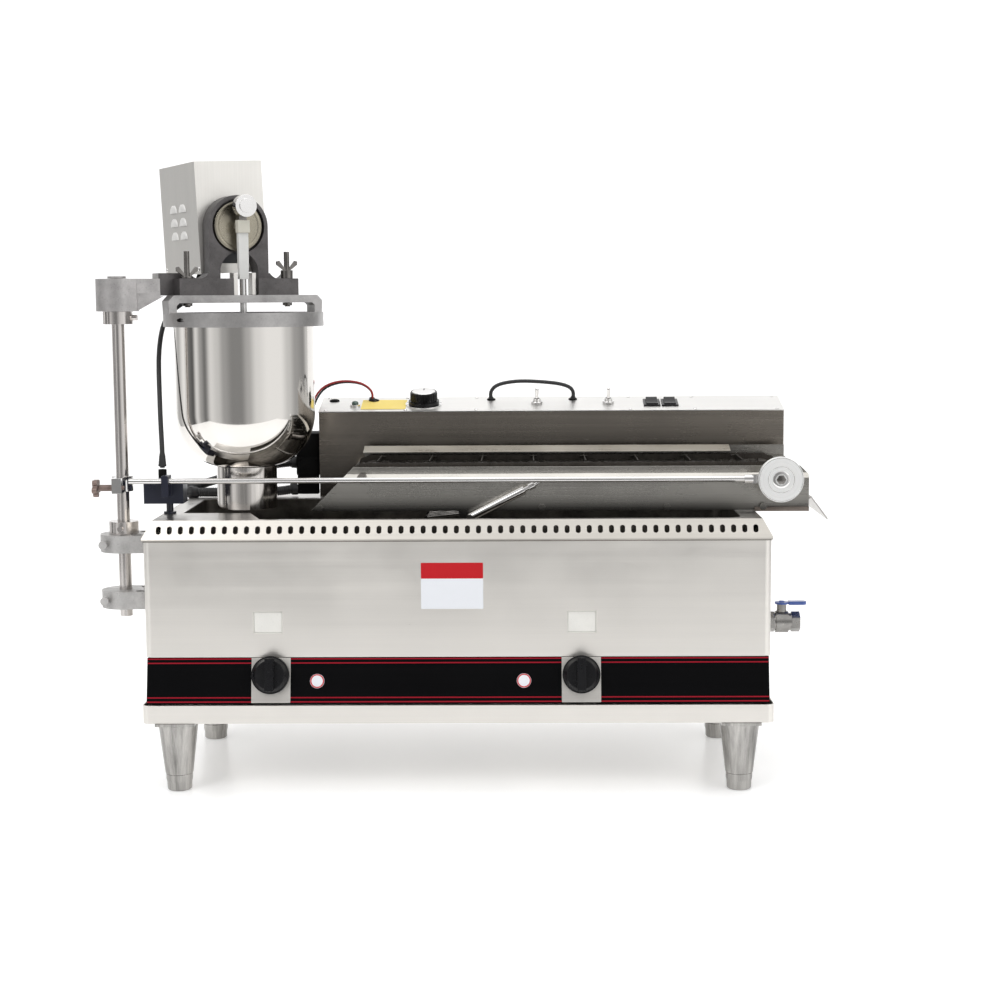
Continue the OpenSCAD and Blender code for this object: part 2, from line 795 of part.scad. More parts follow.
// Place along the chain's loop after a whole number of pitches from the drive sprocket's top
function loop_point(i) =
  i < run_links ? [drive_x - i * chain_pitch, drive_z + pitch_r] :
  i < run_links + sprocket_teeth / 2 ?
    let (a = 90 + (i - run_links) * 360 / sprocket_teeth)
    [idler_x + pitch_r * cos(a), drive_z + pitch_r * sin(a)] :
  i < 2 * run_links + sprocket_teeth / 2 ?
    [idler_x + (i - run_links - sprocket_teeth / 2) * chain_pitch, drive_z - pitch_r] :
    let (a = -90 + (i - 2 * run_links - sprocket_teeth / 2) * 360 / sprocket_teeth)
    [drive_x + pitch_r * cos(a), drive_z + pitch_r * sin(a)];

link_count = 2 * run_links + sprocket_teeth;

module link_shape() {
  arc = [for (i = [0 : 5]) 52 * i];
  polygon(concat([for (a = arc) 4.9 * [cos(50 + a), sin(50 + a)]],
    [for (a = arc) [chain_pitch, 0] + 4.9 * [cos(a - 130), sin(a - 130)]]));
}

module inner_link() {
  difference() {
    union() {
      for (s = [0, 1]) mirror([0, s, 0])
        along_y(plate_gap_inner / 2, plate_gap_inner / 2 + link_t) link_shape();
      for (x = [0, chain_pitch]) translate([x, 0, 0])
        rod_y_axis(roller_r, -plate_gap_inner / 2 - eps, plate_gap_inner / 2 + eps);
    }
    for (x = [0, chain_pitch]) translate([x, 0, 0])
      rod_y_axis(pin_r + 0.2, -plate_gap_inner, plate_gap_inner);
  }
}

module outer_link() {
  gap = plate_gap_inner / 2 + link_t + 0.2;
  for (s = [0, 1]) mirror([0, s, 0]) along_y(gap, gap + link_t) link_shape();
  for (x = [0, chain_pitch]) translate([x, 0, 0])
    rod_y_axis(pin_r, -gap - link_t - 0.6, gap + link_t + 0.6);
}

module chain_loop(y) {
  for (i = [0 : link_count - 1]) {
    p = loop_point(i);
    q = loop_point((i + 1) % link_count);
    translate([p[0], y, p[1]]) rotate([0, -atan2(q[1] - p[1], q[0] - p[0]), 0])
      if (i % 2 == 0) inner_link();
      else outer_link();
  }
}

module chains() {
  color("dimgray") for (y = [chain_near_y, chain_far_y]) chain_loop(y);
}

module flights() {
  y0 = chain_near_y + plate_gap_inner / 2 + 2 * link_t + 1.2;
  y1 = chain_far_y - plate_gap_inner / 2 - 2 * link_t - 1.2;
  color("silver") for (i = [3 : 6 : link_count - 3]) {
    p = loop_point(i);
    q = loop_point(i + 1);
    translate([p[0], 0, p[1]]) rotate([0, -atan2(q[1] - p[1], q[0] - p[0]), 0]) {
      translate([chain_pitch / 2 - 0.75, y0 + 12, -5]) cube([1.5, y1 - y0 - 24, 8]);
      for (y = [y0, y1 - 14])
        translate([1, y, -3]) cube([chain_pitch - 2, 14, 1.5]);
    }
  }
}

module sprocket_shape() {
  step = 360 / sprocket_teeth;
  difference() {
    circle(pitch_r + 2.2, $fn = 96);
    for (i = [0 : sprocket_teeth - 1]) rotate(90 + i * step) {
      for (y = [-chain_pitch, 0, chain_pitch])
        translate([pitch_r, y]) circle(roller_r + 0.3, $fn = 32);
      polygon([[pitch_r, -roller_r - 0.3], [pitch_r + 5, -roller_r - 2.5],
        [pitch_r + 5, roller_r + 2.5], [pitch_r, roller_r + 0.3]]);
    }
  }
}

module sprocket_at(x, y) {
  translate([x, y, drive_z]) rotate([90, 0, 0])
    linear_extrude(plate_gap_inner - 0.8, center = true) sprocket_shape();
  translate([x, 0, drive_z]) rod_y_axis(10.5, y - 7, y + 7);
}

module drive_shaft() {
  color("darkgray") {
    translate([drive_x, 0, drive_z])
      rod_y_axis(shaft_d / 2, wheel_y + wheel_t + 0.5, box_y + 8);
    for (y = [chain_near_y, chain_far_y]) sprocket_at(drive_x, y);
  }
}

module idler_shaft() {
  color("darkgray") {
    translate([idler_x, 0, drive_z])
      rod_y_axis(shaft_d / 2, plate_near_y - 6, plate_far_y + 8);
    for (y = [chain_near_y, chain_far_y]) sprocket_at(idler_x, y);
  }
}

module drive_wheel() {
  color("whitesmoke") translate([drive_x, 0, drive_z]) {
    difference() {
      rod_y_axis(wheel_d / 2, wheel_y, wheel_y + wheel_t);
      rod_y_axis(5, wheel_y - 1, wheel_y + 3);
    }
    translate([0, wheel_y - 2, 0]) rotate([-90, 0, 0]) cylinder(r = 6.5, h = 5, $fn = 6);
    rod_y_axis(shaft_d / 2 + 3, wheel_y + wheel_t - eps, wheel_y + wheel_t + 0.5);
    rotate([0, -45, 0]) translate([peg_r, 0, 0]) rod_y_axis(3.5, wheel_y + wheel_t - eps, rod_y + 2);
  }
}

module flipper() {
  tube_l = 88;
  tilt = 27;
  y = plate_near_y - 16;
  color("silver") {
    translate([flip_x, 0, flip_z]) {
      rod_y_axis(flip_shaft_r, y - 6, plate_far_y + 6);
      translate([0, y, 0]) rotate([0, 90 - tilt, 0]) {
        cylinder(r = 6, h = tube_l);
        translate([0, 0, tube_l]) cylinder(r = 3.2, h = 8);
        translate([0, 0, tube_l + 7]) cylinder(r = 5, h = 9);
        translate([0, 0, tube_l + 14]) cylinder(r = 2.2, h = 18);
      }
      for (i = [0 : 6])
        translate([0, chain_near_y + 22 + i * 18, 0]) {
          rotate([0, -96, 0]) cylinder(r = 2, h = 66);
          rod_y_axis(flip_shaft_r + 2, -4, 4);
        }
      translate([-66, 0, -7]) rod_y_axis(2.6, chain_near_y + 18, chain_near_y + 134);
    }
  }
}

module chute() {
  x0 = 426;
  fold_x = plate_x1 + 4;
  color("silver") difference() {
    along_y(plate_near_y + plate_t + 1.2, plate_far_y - plate_t - 1.2) polygon([
      [x0, deck_z + 0.3], [x0 + 44, deck_z + 0.3], [fold_x, deck_z + 19],
      [chute_tip_x, deck_z - 13], [chute_tip_x, deck_z - 10],
      [fold_x, deck_z + 22], [x0 + 43, deck_z + 2.3], [x0, deck_z + 2.3]]);
    for (p = tie_places()) translate([p[0], 0, p[1]]) rod_y_axis(5.6, 50, 300);
  }
}

module conveyor_motor() {
  y0 = box_y + 10;
  color("dimgray") difference() {
    union() {
      translate([drive_x - 34, y0, drive_z - 32]) cube([66, 50, 64]);
      translate([0, y0 + 25, drive_z]) rod_x_axis(24, drive_x - 150, drive_x - 34);
      translate([drive_x, 0, drive_z]) rod_y_axis(16, box_y + sheet + 0.5, y0 + 1);
      translate([drive_x - 34, y0, box_z0 + sheet]) cube([66, 50, drive_z - 31 - box_z0 - sheet]);
    }
    translate([drive_x, 0, drive_z]) rod_y_axis(shaft_d / 2 + run_fit, box_y - 1, y0 + 1);
  }
}

// Dough head

arm_foot = [head_x - 68 * cos(head_yaw) - 20 * sin(head_yaw),
  head_y - 68 * sin(head_yaw) + 20 * cos(head_yaw)];

module arm() {
  arm_turn = atan2(arm_foot[1] - post_y, arm_foot[0] - post_x);
  z0 = arm_z1 - arm_bar_h;
  color("darkgray") difference() {
    union() {
      translate([post_x, post_y, arm_z1 - arm_boss_h]) linear_extrude(arm_boss_h) hull() {
        circle(arm_boss_r);
        rotate(arm_turn) translate([10, -24]) square([14, 48]);
      }
      translate([0, 0, z0]) linear_extrude(arm_bar_h) hull() {
        translate([post_x, post_y]) circle(24);
        translate(arm_foot) circle(15);
      }
      translate([post_x, post_y, 0]) rotate(arm_turn) along_y(-20, 20)
        polygon([[20, z0 + 1], [72, z0 + 1], [24, arm_z1 - arm_boss_h],
          [20, arm_z1 - arm_boss_h]]);
    }
    translate([post_x, post_y, 0]) cylinder(r = post_d / 2 + run_fit, h = 1000);
    head_frame() translate([-122, -24, bridge_z1 - 1]) cube([200, 70, 60]);
  }
  color("darkgray") translate([post_x, post_y, arm_z1 + 0.6]) cylinder(r = 13, h = 3);
}

module arch_front() {
  difference() {
    union() {
      translate([0, crank_z]) circle(arch_r);
      translate([-arch_r, bridge_z1]) square([2 * arch_r, crank_z - bridge_z1]);
      translate([-122, bridge_z1]) square([122 + base_right, base_t + 8]);
    }
    translate([0, crank_z]) circle(motor_shaft_r + run_fit);
    translate([-29, bridge_z1 - 1]) square([58, 35]);
    translate([0, bridge_z1 + 34]) circle(29);
    for (s = [-1, 1]) translate([s * (arch_r + 16), bridge_z1 + base_t + 16]) circle(16);
  }
}

module arch() {
  color("dimgray") head_frame() difference() {
    union() {
      along_y(arch_y0, arch_y0 + arch_t) arch_front();
      translate([base_left, -16, bridge_z1]) cube([base_right - base_left, arch_y0 + 17, base_t]);
    }
    translate([-19, -17, bridge_z1 - 1]) cube([38, arch_y0 + 18, base_t + 2]);
    for (x = stud_xs) translate([x, 0, bridge_z1 - 1]) cylinder(r = 4.3, h = 40);
    translate([0, 0, crank_z]) rod_y_axis(disc_bore, arch_y0 - 1, disc_y0 + disc_t + 1.5);
  }
}

module gear_motor() {
  color("gray") head_frame() {
    translate([0, 0, crank_z]) {
      rod_y_axis(motor_shaft_r, disc_y0 + 4, arch_y0 + arch_t + 8);
      rod_y_axis(34, arch_y0 + arch_t + 4, arch_y0 + arch_t + 70);
      rod_y_axis(30, arch_y0 + arch_t + 69, arch_y0 + arch_t + 150);
      rod_y_axis(20, arch_y0 + arch_t + 0.2, arch_y0 + arch_t + 5);
    }
  }
}

module motor_cover() {
  y0 = arch_y0 + arch_t + 0.2;
  cover_x = 3;
  color("whitesmoke") head_frame()
    translate([0, 0, bridge_z1 + base_t + 9]) rotate([0, -cover_lean, 0]) difference() {
      translate([cover_x - cover_w / 2, y0, 0]) cube([cover_w, cover_d, cover_h]);
      translate([cover_x - cover_w / 2 + sheet, y0 + sheet, -1])
        cube([cover_w - 2 * sheet, cover_d - 2 * sheet, cover_h + 1 - sheet]);
      translate([0, 0, crank_z - bridge_z1 - base_t - 9]) rod_y_axis(27, y0 - 1, y0 + 4);
      for (s = [-1, 1], i = [0, 1], j = [0 : 2])
        translate([cover_x + s * cover_w / 2, y0 + 70 + i * 44, cover_h - 67 - j * 20])
          rotate([0, 90, 0]) linear_extrude(6, center = true) slot_shape(5, 26);
    }
}

module crank_disc() {
  color("gray") head_frame() translate([0, 0, crank_z]) difference() {
    rod_y_axis(disc_r, disc_y0, disc_y0 + disc_t);
    rod_y_axis(motor_shaft_r + 0.02, disc_y0 + 4, disc_y0 + disc_t + 1);
    translate([0, 0, crank_r]) rod_y_axis(5.4, disc_y0 - 1, disc_y0 + disc_t + 1);
    translate([-3, disc_y0 - 1, -9]) cube([6, 3, 18]);
  }
}

module connecting_rod() {
  y0 = -7;
  color("whitesmoke") head_frame() {
    difference() {
      union() {
        translate([-7.5, y0, crosshead_z + 4]) cube([15, 8.4, crank_z - crosshead_z - 10]);
        translate([-9, y0 - 3, crank_z - 10]) cube([18, 11.4, 18]);
        translate([-6, y0 + 1, crank_z]) cube([12, 7, crank_r]);
        translate([0, 0, crank_z + crank_r]) rod_y_axis(5, y0 + 1, disc_y0 - pass_gap);
        translate([0, 0, crank_z + crank_r]) rod_y_axis(13, y0, y0 + 8.4);
        translate([-7, y0, crosshead_z - 12]) cube([14, 8.4, 20]);
      }
      translate([0, 0, crosshead_z - 14]) cylinder(r = plunger_rod_r, h = 12);
    }
    translate([0, 0, crank_z + crank_r]) {
      rod_y_axis(pin_knob_r, y0 - 15, y0 - 0.05);
      rod_y_axis(pin_knob_r - 6, y0 - 17, y0 - 14);
    }
  }
}

module guide_plates() {
  color("lightgray") head_frame() for (s = [-1, 1])
    translate([s * 14 - 3.2, -9, bridge_z1 + 0.2]) cube([6.4, 18, 32]);
}

module plunger() {
  color("silver") head_frame() {
    translate([0, 0, piston_z0]) cylinder(r = outlet_bore / 2 - run_fit, h = 14);
    translate([0, 0, piston_z0 + 14])
      cylinder(r1 = outlet_bore / 2 - run_fit, r2 = plunger_rod_r + 4, h = 22);
    translate([0, 0, piston_z0 + 30])
      cylinder(r = plunger_rod_r, h = crosshead_z - 2 - piston_z0 - 30);
  }
}

module hopper_ring() {
  color("darkgray") head_frame() difference() {
    union() {
      translate([0, 0, ring_z0]) cylinder(r = ring_r, h = ring_h, $fn = 96);
      along_y(-16, 16) polygon([[-bridge_half, ring_z1 - 2], [bridge_half, ring_z1 - 2],
        [bridge_half + 1, bridge_z1 - 8], [bridge_half - 7, bridge_z1],
        [-bridge_half + 7, bridge_z1], [-bridge_half - 1, bridge_z1 - 8]]);
    }
    translate([0, 0, ring_z0 - 1]) cylinder(r = hopper_d / 2 + 0.1, h = 4.9, $fn = 96);
    translate([0, 0, ring_z0 + 3]) cylinder(r = hopper_d / 2 - 4, h = ring_h, $fn = 96);
    along_y(-20, 20) translate([0, ring_z1]) polygon([[-bridge_half + 11, -3],
      [bridge_half - 11, -3], [bridge_half - 11, 25 - bridge_bar - 4],
      [bridge_half - 15, 25 - bridge_bar], [-bridge_half + 15, 25 - bridge_bar],
      [-bridge_half + 11, 25 - bridge_bar - 4]]);
    translate([-8.4, -9, ring_z1 + 1]) cube([16.8, 18, 40]);
    for (x = stud_xs) translate([x, 0, ring_z1]) cylinder(r = 4.3, h = 60);
    for (s = [-1, 1]) translate([s * (bridge_half - 8), 0, ring_z0 + 10]) rod_y_axis(3, -60, 60);
  }
}

// Half section of the bowl: a straight wall that rounds in to the outlet
function bowl_side(out) = let (r0 = outlet_bore / 2 + 6, r1 = hopper_d / 2 - out,
  z0 = outlet_z1 + out, z1 = outlet_z1 + hopper_round_h)
  [for (a = [0 : 9 : 90]) [r0 + (r1 - r0) * sin(a), z1 - (z1 - z0) * cos(a)]];

module hopper_bowl() {
  wall = 1.5;
  outer = bowl_side(0);
  inner = bowl_side(wall);
  color("gainsboro") head_frame() {
    rotate_extrude($fn = 96) polygon(concat([[outlet_bore / 2 + 0.1, outlet_z1]], outer,
      [[hopper_d / 2, bowl_z1 - 0.3], [hopper_d / 2 - wall, bowl_z1 - 0.3]],
      [for (i = [len(inner) - 1 : -1 : 0]) inner[i]],
      [[outlet_bore / 2 + 0.1, outlet_z1 + wall]]));
  }
}

module outlet_cylinder() {
  color("silver") head_frame() difference() {
    union() {
      translate([0, 0, outlet_z0]) cylinder(r = outlet_d / 2, h = outlet_h - 0.1);
    }
    translate([0, 0, outlet_z0 - 1]) cylinder(r = outlet_bore / 2, h = outlet_h + 2);
    translate([0, 0, outlet_z0 - eps])
      cylinder(r1 = outlet_bore / 2 + 8, r2 = outlet_bore / 2, h = 3);
  }
}

module wing_nuts() {
  color("silver") head_frame() for (i = [0, 1]) translate([stud_xs[i], 0, 0]) {
    lift = 3 + 9 * i;
    translate([0, 0, ring_z1 + 8]) cylinder(r = 4, h = 80);
    translate([0, 0, ring_z1 + 9.8]) cylinder(r = 7, h = 4);
    translate([0, 0, bridge_z1 + base_t + 0.1]) cylinder(r = 9, h = lift);
    translate([0, 0, bridge_z1 + base_t + lift]) difference() {
      along_y(-2, 2) polygon([[-5, 0], [5, 0], [16, 8], [16, 13], [12, 14], [5, 5],
        [-5, 5], [-12, 14], [-16, 13], [-16, 8]]);
      cylinder(r = 3.9, h = 6);
    }
  }
}

// Control box

module control_box() {
  color("dimgray") difference() {
    along_x(box_x0, box_x1) polygon([[box_y, box_z0], [box_y + box_d, box_z0],
      [box_y + box_d, box_z1 + box_rise], [box_y, box_z1]]);
    along_x(box_x0 + sheet, box_x1 - sheet) polygon([[box_y + sheet, box_z0 + sheet],
      [box_y + box_d - sheet, box_z0 + sheet], [box_y + box_d - sheet, box_z1 + box_rise + 5],
      [box_y + sheet, box_z1 + 5]]);
    translate([drive_x, 0, drive_z]) rod_y_axis(shaft_d / 2 + 2, box_y - 1, box_y + 3);
  }
}

dial_x = -62.5;
toggle_xs = [115, 227];
rocker_xs = [295, 323];

module control_panel() {
  length = box_d / cos(box_slope);
  color("silver") difference() {
    union() {
      translate([box_x0 - 0.5, 0, 0]) on_panel(0, -0.5) cube([box_x1 - box_x0 + 1, length + 1, 1.5]);
    }
    on_panel(dial_x, length / 2) translate([0, 0, -5]) cylinder(r = 4.1, h = 20);
    for (x = toggle_xs) on_panel(x, length / 2) translate([0, 0, -5]) cylinder(r = 6.1, h = 20);
    for (x = rocker_xs) on_panel(x, length / 2) translate([-11.1, -15.1, -5]) cube([22.2, 30.2, 20]);
    on_panel(-170, length / 2 - 8) translate([0, 0, -5]) cylinder(r = 5.1, h = 20);
    for (p = gland_places()) on_panel(p[0], p[1]) translate([0, 0, -5]) cylinder(r = p[2], h = 20);
  }
}

function gland_places() = [[-205, 58, 6.1], [-142, 58, 6.1], [43, 62, 5.1], [172, 62, 5.1]];

module panel_fittings() {
  mid = box_d / cos(box_slope) / 2;
  color("white") {
    on_panel(dial_x, mid) translate([0, 0, 1.6]) difference() {
      cylinder(r = 29, h = 1.2);
      translate([0, 0, -1]) cylinder(r = 5, h = 4);
    }
    for (x = rocker_xs) on_panel(x, mid) difference() {
      union() {
        translate([-13, -17, 1.6]) cube([26, 34, 2]);
        translate([-11, -15, -14]) cube([22, 30, 16]);
      }
      translate([-9.1, -13.4, -9]) cube([18.2, 26.8, 20]);
    }
    for (x = toggle_xs) on_panel(x, mid) difference() {
      union() {
        translate([0, 0, -10]) cylinder(r = 6, h = 20);
        translate([0, 0, 1.6]) cylinder(r = 9, h = 3, $fn = 6);
        translate([-9, -14, -26]) cube([18, 28, 17]);
      }
      translate([0, 0, -6]) cylinder(r = 4.4, h = 20);
    }
    on_panel(-170, mid - 8) {
      translate([0, 0, -12]) cylinder(r = 5, h = 16);
      translate([0, 0, 1.6]) cylinder(r = 8, h = 3);
    }
  }
}

module speed_dial() {
  color("black") on_panel(dial_x, box_d / cos(box_slope) / 2) {
    translate([0, 0, -18]) cylinder(r = 4, h = 23);
    translate([0, 0, 3.2]) cylinder(r = 24, h = 4);
    translate([0, 0, 7]) cylinder(r = 20.5, h = 15);
    translate([-1, 6, 21.9]) cube([2, 13, 0.8]);
  }
}

module toggle(x) {
  color("silver") on_panel(x, box_d / cos(box_slope) / 2) translate([0, 0, 6]) rotate([12, 0, 0]) {
    sphere(r = 3.6);
    cylinder(r1 = 2, r2 = 3, h = 20);
    translate([0, 0, 20]) sphere(r = 3);
  }
}

module toggle_left() { toggle(toggle_xs[0]); }

module toggle_right() { toggle(toggle_xs[1]); }

module rocker(x) {
  color("black") on_panel(x, box_d / cos(box_slope) / 2) translate([-8.8, 0, -1])
    rotate([90, 0, 90]) linear_extrude(17.6) rotate(9)
      polygon([[-11.5, 0], [0, -4], [11.5, 0], [12.2, 8], [0, 6.2], [-12.2, 8]]);
}

module rocker_left() { rocker(rocker_xs[0]); }

module rocker_right() { rocker(rocker_xs[1]); }

module cable_glands() {
  color("black") {
    for (p = gland_places()) on_panel(p[0], p[1]) difference() {
      union() {
        translate([0, 0, -8]) cylinder(r = p[2] - 0.1, h = 12);
        translate([0, 0, 1.6]) cylinder(r = p[2] + 2.5, h = 5, $fn = 6);
        translate([0, 0, 6]) cylinder(r1 = p[2] + 1.5, r2 = p[2] - 1, h = 8);
      }
      translate([0, 0, -9]) cylinder(r = p[2] - 2, h = 40);
    }
    translate([-262, 312, deck_z + 0.4])
      cube([box_x0 - 0.3 + 262, 60, junction_z1 - deck_z - 0.4]);
    for (p = [[switch_gland[0], switch_gland[1], drive_z + 2.1],
      [twin_route[0][0], twin_route[0][1], junction_z1]])
      translate(p) difference() {
        cylinder(r = 6, h = 12);
        cylinder(r = 3.7, h = 20);
      }
  }
}

// Routes of the cables, chosen by hand
switch_gland = [-428, 96];
junction_z1 = deck_z + 66;
twin_route = [[-244, 345, junction_z1 + 0.3], [-244, 345, 480], [-240, 346, 520],
  [-224, 348, 550], [-196, 349, 562], [-164, 350, 560], [-146, 352, 547], [-146, 357, 530]];
black_route = [[43, 361, 530], [43, 356, 546], [56, 354, 557], [88, 353, 562],
  [132, 353, 560], [160, 355, 555], [172, 357, 546], [172, 361, 530]];
conduit_low = [[-427, 306, 393], [-400, 306, 393], [-360, 304, 393], [-320, 304, 393],
  [-290, 310, 394], [-262.4, 320, 397]];
conduit_high = [[-430, 330, 398], [-400, 318, 408], [-360, 310, 420], [-320, 312, 430],
  [-290, 318, 436], [-262.4, 326, 438]];
motor_route = [[-428, 96, 452], [-428, 97, 480], [-433, 115, 540], [-439, 150, 620],
  [-433, 186, 668], [-406, 226, 698], [-388.3, 246.9, 746]];

module cables() {
  color("black") {
    tube_along(smooth(twin_route, 3), 3.4, 8);
    tube_along(smooth(black_route, 3), 2.9, 8);
    tube_along(smooth(conduit_low, 2), 7.5, 10);
    tube_along(smooth(conduit_high, 2), 7, 10);
  }
}

module motor_cable() {
  color("black") tube_along(smooth(motor_route, 3), 3.5, 8);
}

place() base_tray();
place() control_strip();
place() front_panel();
place() side_panel_left();
place() side_panel_right();
place() rear_panel();
place() rim();
place() deck_plate();
place() oil_tank();
place() drain_pipe();
place() drain_valve();
place() drain_lever();
place() burners();
place() gas_train();
place() knob_bezels();
place() knob_left();
place() knob_right();
place() window_panes();
place() legs();
place() feet();
place() post_clamps();
place() post();
place() rod_guide();
place() stop_screw();
place() arm();
place() arch();
place() motor_cover();
place() gear_motor();
place() guide_plates();
place() crank_disc();
place() connecting_rod();
place() plunger();
place() hopper_ring();
place() hopper_bowl();
place() outlet_cylinder();
place() wing_nuts();
place() control_box();
place() control_panel();
place() panel_fittings();
place() speed_dial();
place() toggle_left();
place() toggle_right();
place() rocker_left();
place() rocker_right();
place() cable_glands();
place() cables();
place() motor_cable();
place() trigger_switch();
place() plate_near();
place() plate_far();
place() plate_ties();
place() chains();
place() flights();
place() drive_shaft();
place() idler_shaft();
place() drive_wheel();
place() timing_rod();
place() flipper();
place() chute();
place() conveyor_motor();
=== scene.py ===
"""Looks of a countertop doughnut fryer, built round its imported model."""

import json
import math

import bmesh
import bpy
from bpy.props import FloatProperty, FloatVectorProperty, PointerProperty
from mathutils import Matrix, Vector


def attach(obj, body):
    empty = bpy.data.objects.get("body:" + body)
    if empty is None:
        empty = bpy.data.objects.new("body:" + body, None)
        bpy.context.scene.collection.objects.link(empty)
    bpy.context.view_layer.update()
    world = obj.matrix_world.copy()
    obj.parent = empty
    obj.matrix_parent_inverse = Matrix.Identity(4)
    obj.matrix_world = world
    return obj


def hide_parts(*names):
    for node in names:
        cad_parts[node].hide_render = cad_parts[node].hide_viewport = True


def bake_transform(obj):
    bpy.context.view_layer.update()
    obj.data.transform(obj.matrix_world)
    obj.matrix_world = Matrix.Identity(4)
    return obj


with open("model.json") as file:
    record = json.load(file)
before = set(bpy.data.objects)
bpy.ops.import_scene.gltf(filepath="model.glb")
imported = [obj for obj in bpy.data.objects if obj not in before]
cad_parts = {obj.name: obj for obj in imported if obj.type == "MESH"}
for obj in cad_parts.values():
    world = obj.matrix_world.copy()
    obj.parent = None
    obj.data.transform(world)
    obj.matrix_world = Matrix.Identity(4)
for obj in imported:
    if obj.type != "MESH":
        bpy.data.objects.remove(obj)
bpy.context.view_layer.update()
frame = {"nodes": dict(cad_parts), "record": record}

bl_info = {
    "name": "Doughnut fryer",
    "version": (1, 0, 0),
    "blender": (4, 5, 0),
    "location": "View3D > Sidebar > Fryer",
    "description": "Finishes and small fittings of a countertop doughnut fryer",
    "category": "Object",
}

# The cabinet's own measure: millimetres from the middle of its front panel, on the floor
SHIFT = Vector((6.0, 207.725, 0.0))
LEAN = math.atan(14 / 64)
SLOPE = math.atan(17 / 76)
HEAD_TURN = math.radians(28)
COVER_LEAN = math.radians(2.5)
HOPPER_AXIS = (-314, 150)
OUTLET_R = 30.1
DISC_HEIGHT = 799
WHEEL_CENTRE = (458, 50, 435.5)
PANEL_FOOT = (300, 517.5)
PANEL_MIDDLE = 38.94
STRIP_TOP = 192
DIAL_X = -62.5
MM = Matrix.Scale(0.001, 4)
# Turns that point a local z axis out of the front and out of the back
OUT_FRONT = Matrix.Rotation(math.pi / 2, 4, "X")
OUT_BACK = Matrix.Rotation(-math.pi / 2, 4, "X")


def at(x, y, z):
    """A point of the cabinet's measure, in the frame's metres."""
    return (Vector((x, y, z)) - SHIFT) / 1000


def move(x, y, z):
    """Matrix of a shift."""
    return Matrix.Translation((x, y, z))


def sideways(side):
    """Turn that points a local z axis to the right for 1, to the left for -1."""
    return Matrix.Rotation(side * math.pi / 2, 4, "Y")


def cabinet_frame(x=0, y=0, z=0, turn=None):
    """Matrix that carries millimetres of a local frame to the frame's metres."""
    m = Matrix.Translation(at(x, y, z)) @ MM
    return m @ turn if turn else m


def head_frame(x=0, y=0, z=0):
    """Local frame of the dough head: its axis is the hopper's, turned towards the tank."""
    base = Matrix.Translation(at(*HOPPER_AXIS, 0)) @ Matrix.Rotation(HEAD_TURN, 4, "Z")
    return base @ MM @ move(x, y, z)


def panel_frame(x, along=PANEL_MIDDLE, up=0.0):
    """Local frame on the control box's sloped top."""
    base = Matrix.Translation(at(x, *PANEL_FOOT)) @ Matrix.Rotation(SLOPE, 4, "X")
    return base @ MM @ move(0, along, up)


def strip_frame(x, z):
    """Local frame on the leaning control strip, z outwards."""
    y = -math.tan(LEAN) * (STRIP_TOP - z)
    base = Matrix.Translation(at(x, y, z)) @ Matrix.Rotation(math.pi / 2 - LEAN, 4, "X")
    return base @ MM


# Meshes


def keep_mesh(name, bm, material, smooth=math.radians(40)):
    """Turns a bmesh into a finished object."""
    bmesh.ops.recalc_face_normals(bm, faces=bm.faces)
    mesh = bpy.data.meshes.new(name)
    bm.to_mesh(mesh)
    bm.free()
    mesh.materials.append(material)
    piece = bpy.data.objects.new(name, mesh)
    bpy.context.scene.collection.objects.link(piece)
    if smooth:
        mesh.shade_smooth()
        mesh.set_sharp_from_angle(angle=smooth)
    return piece


def settle(piece, body, slot, *nodes):
    """Puts a piece on its body and hides the nodes that it stands for; its slot is not used."""
    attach(piece, body)
    if nodes:
        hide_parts(*nodes)
    return piece


def add_turned(bm, profile, place, steps=48, close=False):
    """Adds a body turned from (radius, height) points about the local z axis."""
    rings = []
    for r, h in profile:
        if r < 1e-6:
            rings.append([bm.verts.new(place @ Vector((0, 0, h)))])
            continue
        ring = []
        for i in range(steps):
            a = 2 * math.pi * i / steps
            ring.append(bm.verts.new(place @ Vector((r * math.cos(a), r * math.sin(a), h))))
        rings.append(ring)
    pairs = list(zip(rings, rings[1:])) + ([(rings[-1], rings[0])] if close else [])
    for low, high in pairs:
        for i in range(steps):
            j = (i + 1) % steps
            corners = [low[i % len(low)], low[j % len(low)], high[j % len(high)], high[i % len(high)]]
            corners = list(dict.fromkeys(corners))
            if len(corners) > 2:
                bm.faces.new(corners)


def add_prism(bm, outline, place, low, high, bevel=0.0, segments=2):
    """Adds an outline raised from low to high along the local z axis, with rounded edges."""
    made = bmesh.new()
    bottom = [made.verts.new((x, y, low)) for x, y in outline]
    face = made.faces.new(bottom)
    lifted = bmesh.ops.extrude_face_region(made, geom=[face])
    top = [v for v in lifted["geom"] if isinstance(v, bmesh.types.BMVert)]
    bmesh.ops.translate(made, vec=(0, 0, high - low), verts=top)
    bmesh.ops.recalc_face_normals(made, faces=made.faces)
    if bevel:
        sharp = [e for e in made.edges if len(e.link_faces) == 2 and e.calc_face_angle(0) > 0.6]
        bmesh.ops.bevel(made, geom=sharp, offset=bevel, segments=segments, affect="EDGES", profile=0.5)
    merge(bm, made, place)


def merge(bm, other, place):
    """Adds another bmesh to this one, carried by a matrix, and frees it."""
    known = {v: bm.verts.new(place @ v.co) for v in other.verts}
    for f in other.faces:
        bm.faces.new([known[v] for v in f.verts])
    other.free()


def add_block(bm, size, place, bevel=0.6, segments=2):
    """Adds a block with rounded edges, centred on x and y and standing on z = 0."""
    w, d, h = size
    outline = [(-w / 2, -d / 2), (w / 2, -d / 2), (w / 2, d / 2), (-w / 2, d / 2)]
    add_prism(bm, outline, place, 0, h, bevel, segments)


def ring_points(count, radius):
    """Points of a regular outline."""
    turns = [2 * math.pi * i / count for i in range(count)]
    return [(radius * math.cos(a), radius * math.sin(a)) for a in turns]


